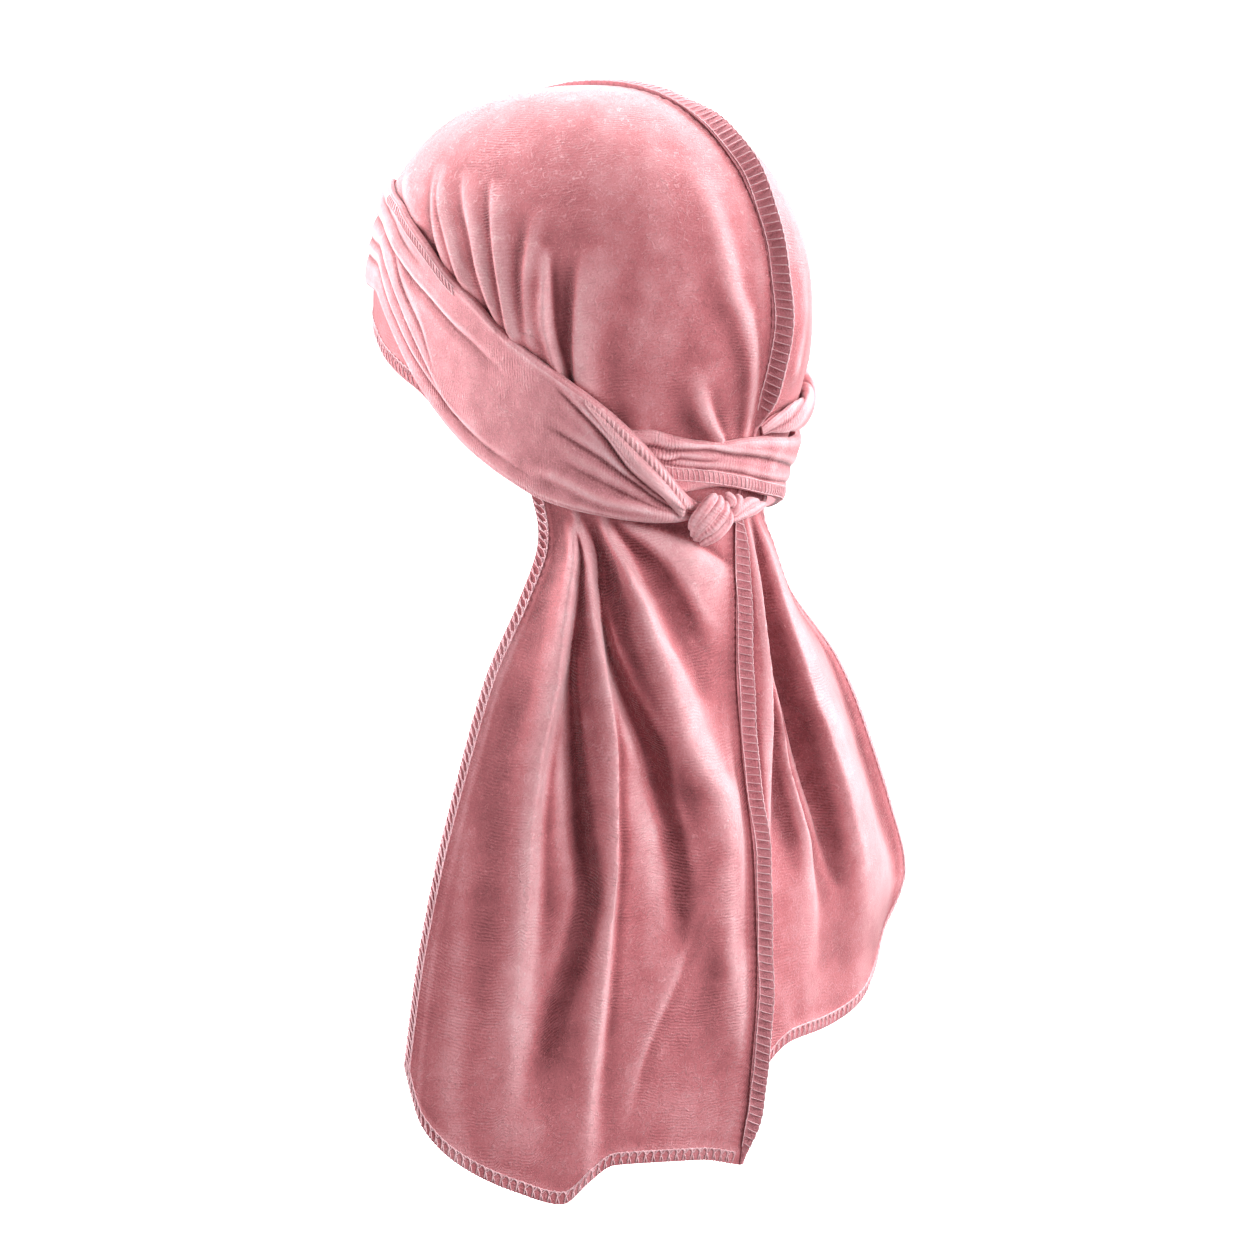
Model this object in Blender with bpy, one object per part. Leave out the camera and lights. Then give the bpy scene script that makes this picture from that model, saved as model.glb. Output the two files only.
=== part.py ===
"""Velvet durag in its worn form, as separate cloth pieces.

Metres, +Z up. The wearer faces -Y and +X is the wearer's left. The origin is the highest point of the
inside of the cap. Azimuths are degrees round the vertical axis from the forehead, 90 over the left ear
and 180 at the nape. Lengths in the tables are millimetres.
"""

import math

import bpy
import numpy as np

MM = 0.001

# Head form that the cap is stretched over
HEAD_HALF_WIDTH = 0.0735
HEAD_FRONT_DEPTH = 0.093
HEAD_BACK_DEPTH = 0.0937
HEAD_DOME_HEIGHT = 0.0865
HEAD_PLAN_POWER = 2.1
HEAD_FRONT_POWER = 2.5
HEAD_BACK_POWER = 2.08
NAPE_LEVEL = -0.205
NAPE_HOLLOW = 0.27
SIDE_HOLLOW = 0.16

# Cloth
CLOTH = 0.002
SEAM_SLIT = 0.00018

# Rows of cloth cells: on the cap above the ties, on the cap under them, and down the cape
ROWS_LEFT = (9, 3, 19)
ROWS_RIGHT = (7, 3, 15)
# Columns of cloth cells: azimuth from and to, and how many
COLUMNS_LEFT = ((0, 66, 10), (66, 112, 15), (112, 180, 26))
COLUMNS_RIGHT = ((0, 72, 9), (72, 160, 15), (160, 180, 17))
SEAM_STEPS = 51
SEAM_SAMPLES = 100

# Centre seam allowance
SEAM_THICKNESS = 0.0024
SEAM_CLEARANCE = 0.0007
SEAM_END = 0.0005
SEAM_SHOULDER = 0.55
SEAM_EDGE_TAPER = 0.75


class Table:
    """Rows of numbers under named columns, read between by a smooth curve that doesn't overshoot."""

    def __init__(self, columns, rows):
        self.columns = {name: np.array(values, float) for name, values in zip(columns, zip(*rows))}
        self.key = self.columns[columns[0]]

    def at(self, name, place):
        values = self.columns[name]
        step = np.diff(self.key)
        grade = np.diff(values) / step
        slope = np.zeros(len(values))
        slope[0], slope[-1] = grade[0], grade[-1]
        together = grade[:-1] * grade[1:] > 0
        total = np.where(together, grade[:-1] + grade[1:], 1.0)
        slope[1:-1] = np.where(together, 2 * grade[:-1] * grade[1:] / total, 0.0)
        place = np.clip(np.asarray(place, float), self.key[0], self.key[-1])
        left = np.clip(np.searchsorted(self.key, place, side="right") - 1, 0, len(step) - 1)
        width = step[left]
        part = (place - self.key[left]) / width
        return (
            values[left] * (1 + 2 * part) * (1 - part) ** 2
            + values[left + 1] * part**2 * (3 - 2 * part)
            + width * part * (1 - part) * (slope[left] * (1 - part) - slope[left + 1] * part)
        )

    def rows(self):
        names = list(self.columns)
        return [dict(zip(names, row)) for row in zip(*(self.columns[name] for name in names))]


# Lower edge of the cap: open rim from forehead to ear, then the line where the cape starts under the ties
RIM_LEFT = Table(
    ("azimuth", "z"),
    (
        (0, -88.0),
        (25, -92.0),
        (40, -99.0),
        (50, -107.0),
        (60, -113.5),
        (69, -119.0),
        (76, -125.5),
        (90, -138.0),
        (105, -149.0),
        (120, -157.0),
        (145, -160.0),
        (165, -154.0),
        (180, -147.0),
    ),
)
RIM_RIGHT = Table(
    ("azimuth", "z"),
    (
        (0, -88.0),
        (25, -92.0),
        (50, -102.5),
        (75, -125.5),
        (90, -137.0),
        (110, -148.0),
        (130, -152.0),
        (150, -152.0),
        (180, -147.0),
    ),
)

# Gather folds of the cap above the ties. Widths are degrees towards the front and the back
FOLD_COLUMNS = ("top_azimuth", "top_z", "low_azimuth", "low_z", "height", "front_width", "back_width")
CROWN_FOLDS_LEFT = Table(
    FOLD_COLUMNS,
    (
        (71, -36, 86, -74, 2.6, 2.4, 4.4),
        (76, -34, 95, -83, 3.0, 2.4, 4.4),
        (90, -38, 106, -97, 3.4, 2.6, 4.6),
        (101, -44, 114, -103, 3.6, 2.4, 3.6),
        (112, -54, 120, -106, 3.4, 3.0, 3.0),
        (120, -64, 126, -113, 4.6, 4.5, 1.9),
        (129, -66, 131, -116, 4.0, 2.0, 7.0),
        (160, -50, 169, -132, 2.6, 4.0, 3.0),
        (171, -70, 174, -134, 2.4, 2.6, 2.6),
    ),
)
CROWN_FOLDS_RIGHT = Table(
    FOLD_COLUMNS,
    (
        (78, -40, 92, -80, 2.8, 3.0, 4.6),
        (95, -46, 108, -98, 3.4, 3.0, 4.6),
        (112, -58, 120, -108, 3.4, 3.2, 4.0),
        (128, -66, 132, -118, 3.0, 3.0, 5.0),
        (165, -60, 170, -130, 2.4, 3.0, 3.0),
    ),
)

FOLD_PRESS = 0.9
FOLD_PRESS_REACH = 0.012
FOLD_PRESS_START = 0.75
FOLD_FADE = 0.15
FOLD_GROWTH = 0.9
FOLD_RUN_ON = 1.3
FOLD_SEAM_MARGIN = 8.0
FOLD_TOP_MARGIN = 0.33
TWIST_FOOTPRINT = 0.024

# Plan of the cape at each level: where the seam and the outer edge hang, and the bulge between
CAPE_COLUMNS = ("level", "seam_y", "edge_x", "edge_y", "bulge")
CAPE_LEFT = Table(
    CAPE_COLUMNS,
    (
        (-432, 79.0, 124.0, 14.0, 9.0),
        (-397, 84.9, 123.0, 14.0, 9.0),
        (-350, 88.8, 117.5, 15.0, 9.5),
        (-303, 87.0, 108.5, 18.0, 10.5),
        (-259, 80.8, 95.5, 21.0, 12.0),
        (-229, 77.8, 85.0, 23.0, 13.0),
        (-199, 77.2, 68.0, 25.0, 14.0),
        (-180, 77.0, 59.0, 26.0, 14.5),
        (-165, 77.2, 56.6, 27.0, 15.0),
    ),
)
CAPE_RIGHT = Table(
    CAPE_COLUMNS,
    (
        (-432, 79.0, 106.0, 64.0, 8.0),
        (-397, 84.9, 108.0, 62.0, 8.0),
        (-350, 88.8, 111.0, 62.0, 8.0),
        (-322, 88.5, 113.8, 66.0, 8.0),
        (-291, 85.5, 102.6, 66.0, 8.0),
        (-259, 80.8, 88.6, 66.0, 8.0),
        (-229, 77.8, 71.8, 66.0, 7.0),
        (-199, 77.2, 42.8, 68.0, 5.0),
        (-165, 77.2, 24.0, 70.0, 2.0),
    ),
)
CAPE_LEFT_AZIMUTH = 112.0
CAPE_RIGHT_AZIMUTH = 160.0
CAPE_BLEND = 0.03
PLEAT_START = 0.0018
PLEAT_RISE = 0.0054
PLEAT_STEP = 0.004
STEEPEST = 1.8

# Height of the hem from the seam (0) to the outer edge (1)
HEM_LEFT = Table(
    ("across", "z"),
    (
        (0, -424.6),
        (0.14, -420.0),
        (0.40, -418.5),
        (0.475, -424.0),
        (0.55, -432.0),
        (0.685, -426.0),
        (0.83, -415.5),
        (0.94, -400.0),
        (1, -376.0),
    ),
)
HEM_RIGHT = Table(
    ("across", "z"),
    (
        (0, -424.6),
        (0.04, -404.0),
        (0.09, -384.0),
        (0.21, -377.0),
        (0.47, -375.0),
        (0.7, -368.0),
        (0.85, -356.0),
        (0.95, -340.0),
        (1, -320.0),
    ),
)

# Pleats of the cape, valleys where the height is below 0: place from seam (0) to edge (1), and widths
PLEAT_COLUMNS = ("level", "across", "height", "seam_width", "edge_width")
PLEATS_LEFT = (
    # Roll along the outer edge
    Table(
        PLEAT_COLUMNS,
        (
            (-430, 0.7, 0.8, 0.1, 0.14),
            (-390, 0.715, 2.4, 0.08, 0.14),
            (-365, 0.726, 3.6, 0.06, 0.13),
            (-334, 0.72, 5.4, 0.045, 0.13),
            (-311, 0.725, 6.8, 0.04, 0.13),
            (-281, 0.743, 8.2, 0.04, 0.12),
            (-258, 0.749, 9.2, 0.04, 0.12),
            (-243, 0.741, 9.5, 0.04, 0.12),
            (-228, 0.736, 9.3, 0.056, 0.12),
            (-213, 0.753, 9.0, 0.056, 0.11),
            (-199, 0.77, 7.2, 0.04, 0.1),
            (-184, 0.795, 4.5, 0.04, 0.08),
            (-174, 0.8, 1.6, 0.04, 0.07),
            (-167, 0.8, 0.0, 0.04, 0.07),
        ),
    ),
    # Valley between the outer roll and the middle fold
    Table(
        PLEAT_COLUMNS,
        (
            (-400, 0.68, 0.0, 0.06, 0.05),
            (-376, 0.645, -0.7, 0.05, 0.05),
            (-354, 0.605, -1.3, 0.04, 0.045),
            (-340, 0.577, -1.8, 0.035, 0.045),
            (-312, 0.546, -2.7, 0.035, 0.05),
            (-286, 0.583, -3.6, 0.035, 0.05),
            (-262, 0.621, -3.9, 0.035, 0.05),
            (-237, 0.672, -1.0, 0.035, 0.035),
            (-232, 0.69, 0.0, 0.035, 0.035),
        ),
    ),
    # Middle fold, steep on its seam side
    Table(
        PLEAT_COLUMNS,
        (
            (-430, 0.5, 1.2, 0.05, 0.12),
            (-390, 0.492, 3.0, 0.036, 0.11),
            (-362, 0.484, 5.0, 0.036, 0.1),
            (-330, 0.478, 7.5, 0.036, 0.1),
            (-307, 0.476, 9.5, 0.036, 0.1),
            (-274, 0.494, 11.5, 0.036, 0.11),
            (-257, 0.51, 11.8, 0.036, 0.11),
            (-238, 0.544, 11.0, 0.036, 0.1),
            (-220, 0.596, 9.0, 0.036, 0.085),
            (-198, 0.68, 5.6, 0.036, 0.06),
            (-184, 0.746, 2.6, 0.036, 0.045),
            (-174, 0.78, 0.5, 0.036, 0.04),
            (-168, 0.79, 0.0, 0.036, 0.04),
        ),
    ),
    # Deep valley beside the middle fold
    Table(
        PLEAT_COLUMNS,
        (
            (-345, 0.255, 0.0, 0.05, 0.06),
            (-330, 0.252, -0.7, 0.045, 0.06),
            (-315, 0.255, -1.3, 0.04, 0.06),
            (-292, 0.28, -2.3, 0.035, 0.06),
            (-276, 0.315, -3.1, 0.035, 0.065),
            (-263, 0.343, -3.7, 0.035, 0.06),
            (-246, 0.415, -1.5, 0.035, 0.05),
            (-230, 0.498, -1.4, 0.035, 0.035),
            (-218, 0.566, 0.0, 0.035, 0.035),
        ),
    ),
    # Long diagonal fold that comes up to the seam
    Table(
        PLEAT_COLUMNS,
        (
            (-330, 0.1, 0.0, 0.1, 0.12),
            (-305, 0.105, 3.0, 0.1, 0.12),
            (-278, 0.125, 7.5, 0.09, 0.13),
            (-265, 0.2, 9.5, 0.11, 0.13),
            (-252, 0.268, 11.5, 0.12, 0.13),
            (-239, 0.307, 12.0, 0.11, 0.12),
            (-223, 0.369, 12.0, 0.085, 0.115),
            (-210, 0.43, 10.5, 0.06, 0.1),
            (-200, 0.474, 9.0, 0.045, 0.09),
            (-191, 0.536, 7.5, 0.045, 0.075),
            (-181, 0.588, 5.0, 0.045, 0.06),
            (-174, 0.62, 2.2, 0.045, 0.05),
            (-168, 0.64, 0.0, 0.045, 0.05),
        ),
    ),
    # Swelling beside the seam lower down
    Table(
        PLEAT_COLUMNS,
        (
            (-385, 0.06, 0.0, 0.05, 0.08),
            (-360, 0.07, 2.4, 0.05, 0.07),
            (-340, 0.085, 3.0, 0.05, 0.06),
            (-318, 0.1, 1.6, 0.05, 0.07),
            (-300, 0.1, 0.0, 0.05, 0.07),
        ),
    ),
)
# Pouch of loose cloth under the ties: upper and lower edge from the seam (0) outwards, and height
POUCH = Table(
    ("across", "upper", "lower", "height"),
    (
        (0.0, -186.0, -226.5, 0.0),
        (0.05, -184.8, -225.2, 1.9),
        (0.1, -182.8, -223.3, 3.9),
        (0.15, -180.6, -220.0, 5.9),
        (0.2, -178.2, -215.4, 7.5),
        (0.26, -175.5, -209.0, 8.8),
        (0.348, -172.5, -199.5, 8.4),
        (0.445, -170.0, -189.5, 7.0),
        (0.508, -168.5, -183.0, 5.5),
        (0.555, -167.5, -178.0, 4.0),
        (0.63, -166.0, -171.0, 0.0),
    ),
)
POUCH_RISE = 5.0
POUCH_CREASE = 9.0
PLEATS_RIGHT = (
    # Rolls beside the seam
    Table(
        PLEAT_COLUMNS,
        (
            (-365, 0.3, 0.0, 0.16, 0.08),
            (-335, 0.275, 2.0, 0.12, 0.08),
            (-310, 0.24, 4.0, 0.1, 0.07),
            (-289, 0.21, 5.6, 0.09, 0.06),
            (-264, 0.17, 6.8, 0.09, 0.06),
            (-247, 0.165, 7.2, 0.09, 0.06),
            (-231, 0.175, 6.6, 0.09, 0.06),
            (-213, 0.192, 5.4, 0.1, 0.06),
            (-196, 0.22, 4.4, 0.11, 0.06),
            (-181, 0.235, 2.4, 0.12, 0.06),
            (-168, 0.24, 0.5, 0.12, 0.06),
            (-160, 0.24, 0.0, 0.12, 0.06),
        ),
    ),
    # Valley between the rolls
    Table(
        PLEAT_COLUMNS,
        (
            (-320, 0.42, 0.0, 0.045, 0.045),
            (-303, 0.405, -1.2, 0.045, 0.045),
            (-291, 0.394, -2.1, 0.045, 0.045),
            (-276, 0.365, -2.7, 0.045, 0.045),
            (-260, 0.339, -3.0, 0.045, 0.045),
            (-244, 0.319, -3.0, 0.045, 0.045),
            (-229, 0.302, -2.9, 0.045, 0.045),
            (-213, 0.316, -2.4, 0.045, 0.045),
            (-197, 0.355, -1.8, 0.045, 0.045),
            (-178, 0.39, -0.6, 0.05, 0.045),
            (-166, 0.4, 0.0, 0.05, 0.045),
        ),
    ),
    # Broad outer roll, steep towards the valley
    Table(
        PLEAT_COLUMNS,
        (
            (-400, 0.72, 1.5, 0.2, 0.26),
            (-350, 0.66, 4.5, 0.18, 0.28),
            (-322, 0.585, 8.0, 0.14, 0.3),
            (-310, 0.555, 9.5, 0.12, 0.3),
            (-297, 0.52, 11.0, 0.095, 0.3),
            (-283, 0.488, 12.2, 0.08, 0.3),
            (-271, 0.458, 12.8, 0.07, 0.3),
            (-254, 0.415, 12.8, 0.06, 0.32),
            (-239, 0.385, 11.5, 0.06, 0.34),
            (-221, 0.395, 9.0, 0.06, 0.34),
            (-200, 0.45, 6.0, 0.065, 0.34),
            (-180, 0.52, 3.0, 0.09, 0.32),
            (-166, 0.56, 0.6, 0.1, 0.3),
            (-158, 0.56, 0.0, 0.1, 0.3),
        ),
    ),
    # Outer edge turned outwards
    Table(
        PLEAT_COLUMNS,
        (
            (-365, 1.0, 0.0, 0.05, 0.1),
            (-330, 1.0, 3.6, 0.06, 0.1),
            (-290, 1.0, 5.0, 0.065, 0.1),
            (-255, 1.0, 4.6, 0.07, 0.1),
            (-225, 1.0, 3.0, 0.08, 0.1),
            (-198, 1.0, 0.0, 0.09, 0.1),
        ),
    ),
)

# Seam allowance along its run from the top of the head: height, and lean to the wearer's right
SEAM = Table(
    ("run", "height", "lean"),
    (
        (-150, 1.0, 0),
        (-42, 1.0, 0),
        (-32, 1.0, 10),
        (-20, 3.0, 60),
        (-5, 6.5, 74),
        (15, 8.0, 74),
        (40, 8.6, 68),
        (64, 8.8, 52),
        (90, 9.0, 30),
        (115, 9.0, 18),
        (160, 9.0, 10),
        (178, 8.0, 10),
        (190, 3.5, 5),
        (195, 1.0, 0),
        (236, 1.0, 0),
        (252, 5.0, 25),
        (268, 7.2, 30),
        (462, 7.2, 28),
        (486, 2.0, 10),
    ),
)

# Ties as bands on the cap: top and bottom edge, lift of the inside off the head form, thickness
TIE_COLUMNS = ("azimuth", "top", "bottom", "inner", "thick")
TIE_LEFT = Table(
    TIE_COLUMNS,
    (
        (-46, -68, -92, 2.8, 1.6),
        (-30, -64, -91, 2.8, 2.2),
        (-24, -62, -90, 2.7, 2.0),
        (-17, -60, -89, 2.9, 2.2),
        (-5, -56.5, -86, 6.6, 2.4),
        (5, -43, -80, 6.4, 2.2),
        (16, -38.0, -80, 5.2, 2.4),
        (26, -36.5, -77, 3.4, 2.6),
        (35, -37.5, -78, 2.9, 2.6),
        (48, -42.5, -80.5, 2.8, 2.7),
        (57, -46.5, -92.0, 2.8, 2.8),
        (63, -51.0, -101.5, 2.9, 2.8),
        (69, -55.5, -111.5, 3.1, 2.8),
        (76, -61.3, -122.5, 3.3, 2.8),
        (88, -73.6, -137.8, 3.8, 2.8),
        (98.5, -83.3, -147.0, 4.0, 2.8),
        (107, -92.8, -152.8, 4.1, 3.0),
        (117.6, -103.0, -159.2, 4.2, 3.2),
        (128.6, -113.6, -162.8, 4.4, 3.4),
        (137.7, -123.1, -164.8, 4.8, 3.8),
        (145.3, -132.6, -166.2, 5.6, 4.2),
        (153.3, -145.0, -167.0, 6.2, 4.6),
        (158.6, -153.5, -166.8, 6.0, 4.4),
        (161.6, -157.5, -166.2, 5.6, 3.8),
        (164.2, -159.5, -165.4, 5.0, 2.6),
    ),
)
# Top edge of the right tie where it comes round the back of the head on the left
BACK_EDGE = Table(
    ("azimuth", "top"),
    (
        (140, -300),
        (149, -131.8),
        (155, -134.0),
        (161.8, -136.0),
        (168.9, -136.6),
        (174, -135.6),
        (180, -135.0),
    ),
)
TIE_RIGHT = Table(
    TIE_COLUMNS,
    (
        (144, -132, -150.5, 2.8, 1.8),
        (149, -131.8, -156, 2.8, 2.4),
        (155, -134.0, -157, 2.8, 2.8),
        (161.8, -136.0, -155.6, 2.8, 3.0),
        (168.9, -136.6, -154.0, 3.0, 3.2),
        (174, -135.6, -154.6, 3.3, 3.3),
        (177.5, -135.0, -155.2, 4.1, 3.2),
        (182.5, -134.8, -156.4, 4.5, 3.0),
        (187, -134.9, -157.6, 5.5, 2.8),
        (198.3, -135.6, -160.0, 4.7, 3.2),
        (210, -134.0, -163.0, 4.2, 3.2),
        (225, -126.0, -166.0, 3.8, 3.2),
        (240, -114.0, -163.0, 3.8, 3.2),
        (255, -100.0, -153.0, 3.8, 3.0),
        (270, -84.0, -140.0, 3.8, 3.0),
        (285, -68.0, -126.0, 4.8, 3.0),
        (297, -57.0, -111.0, 5.0, 2.8),
        (312, -44.0, -97.0, 5.6, 2.8),
        (330, -33.0, -91.0, 6.0, 2.6),
        (336, -31.0, -72.0, 6.4, 2.4),
        (342, -30.0, -56.5, 5.4, 2.4),
        (355, -31.0, -54.0, 3.8, 2.2),
        (363, -37.0, -62.0, 3.5, 1.8),
        (370, -44.0, -72.0, 2.7, 1.6),
        (378, -53.0, -78.0, 2.7, 1.2),
    ),
)
# Creases that part each band into rolls, as shares of its width from the top edge
CREASE_COLUMNS = ("azimuth", "upper", "lower")
CREASES_LEFT = Table(
    CREASE_COLUMNS,
    (
        (-46, 0.35, 0.70),
        (18, 0.38, 0.70),
        (50, 0.33, 0.73),
        (68, 0.31, 0.79),
        (86, 0.245, 0.83),
        (113, 0.20, 0.80),
        (124, 0.25, 0.74),
        (135, 0.35, 0.72),
        (158, 0.45, 0.75),
        (166, 0.45, 0.75),
    ),
)
CREASES_RIGHT = Table(
    CREASE_COLUMNS,
    (
        (144, 0.40, 0.70),
        (176, 0.27, 0.60),
        (200, 0.30, 0.62),
        (240, 0.24, 0.72),
        (285, 0.26, 0.82),
        (310, 0.33, 0.74),
        (345, 0.38, 0.70),
        (378, 0.35, 0.70),
    ),
)
CREASE_DEPTH = 0.45
ROLL_POINTS = 4
BAND_INSIDE_POINTS = 5
# Azimuths of the sections of each tie: from, to, and how many
STOPS_LEFT = ((-46, 48, 13), (53.53, 164.2, 21))
STOPS_RIGHT = ((144, 174, 6), (177.5, 182.5, 2), (187, 378, 24))

# Edge of the left tie turned over on itself, towards the knot: its two margins on the head form
TURNOVER = Table(
    ("azimuth", "upper", "lower", "thick"),
    (
        (132.5, -119.0, -121.0, 0.5),
        (136.5, -123.0, -127.6, 1.1),
        (143.3, -131.0, -140.5, 2.0),
        (149.5, -139.5, -150.0, 2.4),
        (154.0, -146.6, -156.8, 2.6),
        (157.4, -153.0, -162.0, 2.6),
        (159.0, -156.8, -163.8, 2.4),
        (160.2, -160.2, -163.6, 1.6),
    ),
)
TURNOVER_GAP = 0.0007
TURNOVER_MARGIN = 0.25
TURNOVER_STEPS = 12
TURNOVER_POINTS = 5

# Right tie twisted into a rope above the band: centre line, half thickness off the head, half width
TWIST = Table(
    ("azimuth", "z", "lift", "half_thick", "half_width"),
    (
        (182.0, -133.0, 3.0, 0.5, 2.6),
        (185.0, -130.2, 4.2, 1.6, 3.8),
        (190, -128.2, 5.4, 2.7, 5.4),
        (198, -126.6, 5.6, 3.1, 6.6),
        (212, -122.0, 5.6, 3.2, 7.0),
        (230, -112.0, 5.8, 3.4, 7.2),
        (250, -94.5, 5.8, 3.4, 7.0),
        (268, -76.0, 5.6, 3.2, 7.0),
        (281, -63.0, 5.0, 1.8, 6.2),
        (291, -59.5, 3.4, 0.6, 5.2),
    ),
)
TWIST_TURNS = 2.6
TWIST_STRANDS = 3
TWIST_GROOVE = 0.17
TWIST_STEPS = 22
TWIST_POINTS = 12

# Strands of the knot, as centre lines and radii: four rolls side by side, two short ones, then the tail
STRAND_COLUMNS = ("order", "azimuth", "z", "lift", "radius")
KNOT_STRANDS = (
    (
        (0, 167.6, -155.6, 8.6, 1.2),
        (1, 165.0, -156.8, 12.6, 2.0),
        (2, 163.0, -160.4, 13.8, 2.2),
        (3, 161.8, -165.1, 12.6, 2.0),
        (4, 162.3, -169.4, 8.8, 1.3),
    ),
    (
        (0, 168.9, -156.0, 9.0, 1.2),
        (1, 166.7, -158.6, 13.8, 2.0),
        (2, 164.2, -163.2, 14.6, 2.2),
        (3, 162.6, -168.4, 12.6, 1.9),
        (4, 162.8, -171.7, 8.8, 1.2),
    ),
    (
        (0, 170.6, -157.6, 9.6, 1.2),
        (1, 168.9, -161.7, 13.4, 1.9),
        (2, 166.5, -166.3, 13.8, 2.1),
        (3, 163.9, -170.9, 11.6, 1.8),
        (4, 163.8, -173.4, 8.4, 1.2),
    ),
    (
        (0, 172.0, -160.4, 9.6, 1.2),
        (1, 171.3, -165.5, 12.0, 1.8),
        (2, 168.7, -170.4, 12.0, 2.0),
        (3, 166.1, -173.8, 10.6, 1.7),
        (4, 165.5, -175.2, 9.0, 1.1),
    ),
    (
        (0, 170.6, -155.6, 8.2, 1.3),
        (1, 171.2, -156.2, 10.0, 1.6),
        (2, 171.7, -157.6, 11.0, 1.7),
        (3, 171.3, -159.8, 11.2, 1.5),
    ),
    (
        (0, 174.3, -156.6, 8.2, 1.4),
        (1, 174.2, -157.4, 10.0, 1.7),
        (2, 173.3, -160.2, 11.0, 1.8),
        (3, 172.6, -163.6, 10.2, 1.6),
    ),
    (
        (0, 172.8, -165.6, 9.8, 1.5),
        (1, 177.4, -164.1, 8.4, 1.8),
        (2, 182.3, -163.0, 7.4, 1.9),
        (3, 186.7, -161.8, 6.6, 1.5),
        (4, 190.5, -161.6, 5.6, 0.8),
    ),
    (
        (0, 173.2, -164.2, 9.6, 1.5),
        (1, 176.7, -161.4, 8.4, 2.0),
        (2, 180.6, -160.0, 7.2, 2.0),
        (3, 185.5, -160.4, 6.0, 1.4),
    ),
)
STRAND_STEPS = 7
STRAND_POINTS = 6


def smoothstep(part):
    part = np.clip(part, 0.0, 1.0)
    return part * part * (3 - 2 * part)


def form_radius(azimuth, z):
    """Distance of the head form from the vertical axis."""
    angle = np.radians(azimuth)
    back = 0.5 * (1 - np.cos(angle))
    depth = np.where(np.cos(angle) < 0, HEAD_BACK_DEPTH, HEAD_FRONT_DEPTH)
    across = np.abs(np.sin(angle) / HEAD_HALF_WIDTH) ** HEAD_PLAN_POWER
    along = np.abs(np.cos(angle) / depth) ** HEAD_PLAN_POWER
    plan = (across + along) ** (-1 / HEAD_PLAN_POWER)
    power = HEAD_FRONT_POWER + (HEAD_BACK_POWER - HEAD_FRONT_POWER) * back
    rise = np.clip(z / HEAD_DOME_HEIGHT + 1, 0, 1)
    dome = (1 - rise**power) ** (1 / power)
    hollow = NAPE_HOLLOW * back**2 + SIDE_HOLLOW * np.sin(angle) ** 2
    fall = smoothstep((-HEAD_DOME_HEIGHT - z) / (-HEAD_DOME_HEIGHT - NAPE_LEVEL))
    return plan * dome * (1 - hollow * fall)


def on_form(azimuth, z, lift):
    """Points at a height z on the head form, lifted off it along its normal."""
    azimuth, z, lift = np.broadcast_arrays(np.asarray(azimuth, float), np.asarray(z, float), lift)
    radius = form_radius(azimuth, z)
    turn, drop = 0.05, 1e-5
    low = np.minimum(z, -2 * drop)
    by_angle = form_radius(azimuth + turn, z) - form_radius(azimuth - turn, z)
    by_angle = by_angle / (2 * math.radians(turn))
    by_height = (form_radius(azimuth, low + drop) - form_radius(azimuth, low - drop)) / (2 * drop)
    sine, cosine = np.sin(np.radians(azimuth)), np.cos(np.radians(azimuth))
    sideways = np.where(radius > 1e-6, by_angle / np.maximum(radius, 1e-6), 0.0)
    upright = -by_height
    flat = 1 / np.sqrt(1 + sideways**2 + upright**2)
    top = radius < 1e-6
    out = np.where(top, 0, flat)
    side = np.where(top, 0, -sideways * flat)
    up = np.where(top, 1, upright * flat)
    away = radius + lift * out
    return np.stack(
        [
            away * sine + lift * side * cosine,
            -away * cosine + lift * side * sine,
            z + lift * up,
        ],
        axis=-1,
    )


def height_at(sweep):
    """Height on the form for an angle swept down from its top, straight down past the widest level."""
    dome = HEAD_DOME_HEIGHT * (np.cos(np.minimum(sweep, math.pi / 2)) - 1)
    return dome - HEAD_DOME_HEIGHT * np.maximum(sweep - math.pi / 2, 0)


def sweep_at(z):
    rise = np.clip(z / HEAD_DOME_HEIGHT + 1, 0, 1)
    below = math.pi / 2 - z / HEAD_DOME_HEIGHT - 1
    return np.where(z > -HEAD_DOME_HEIGHT, np.arccos(rise), below)


def crown_folds(folds, azimuth, z, below):
    """Height of the gather folds: each fades in from its top, and a tie presses it flat below its edge."""
    total = np.zeros(np.broadcast(azimuth, z).shape)
    for fold in folds.rows():
        fall = (fold["top_z"] * MM - z) / ((fold["top_z"] - fold["low_z"]) * MM)
        drift = (fold["low_azimuth"] - fold["top_azimuth"]) * np.clip(fall, 0, FOLD_RUN_ON)
        away = azimuth - fold["top_azimuth"] - drift
        width = np.where(away > 0, fold["back_width"], fold["front_width"])
        height = fold["height"] * MM * smoothstep((fall + FOLD_FADE) / FOLD_GROWTH)
        total = total + height * np.exp(-((away / width) ** 2))
    return total * (1 - FOLD_PRESS * smoothstep(below / FOLD_PRESS_REACH + FOLD_PRESS_START))


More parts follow.
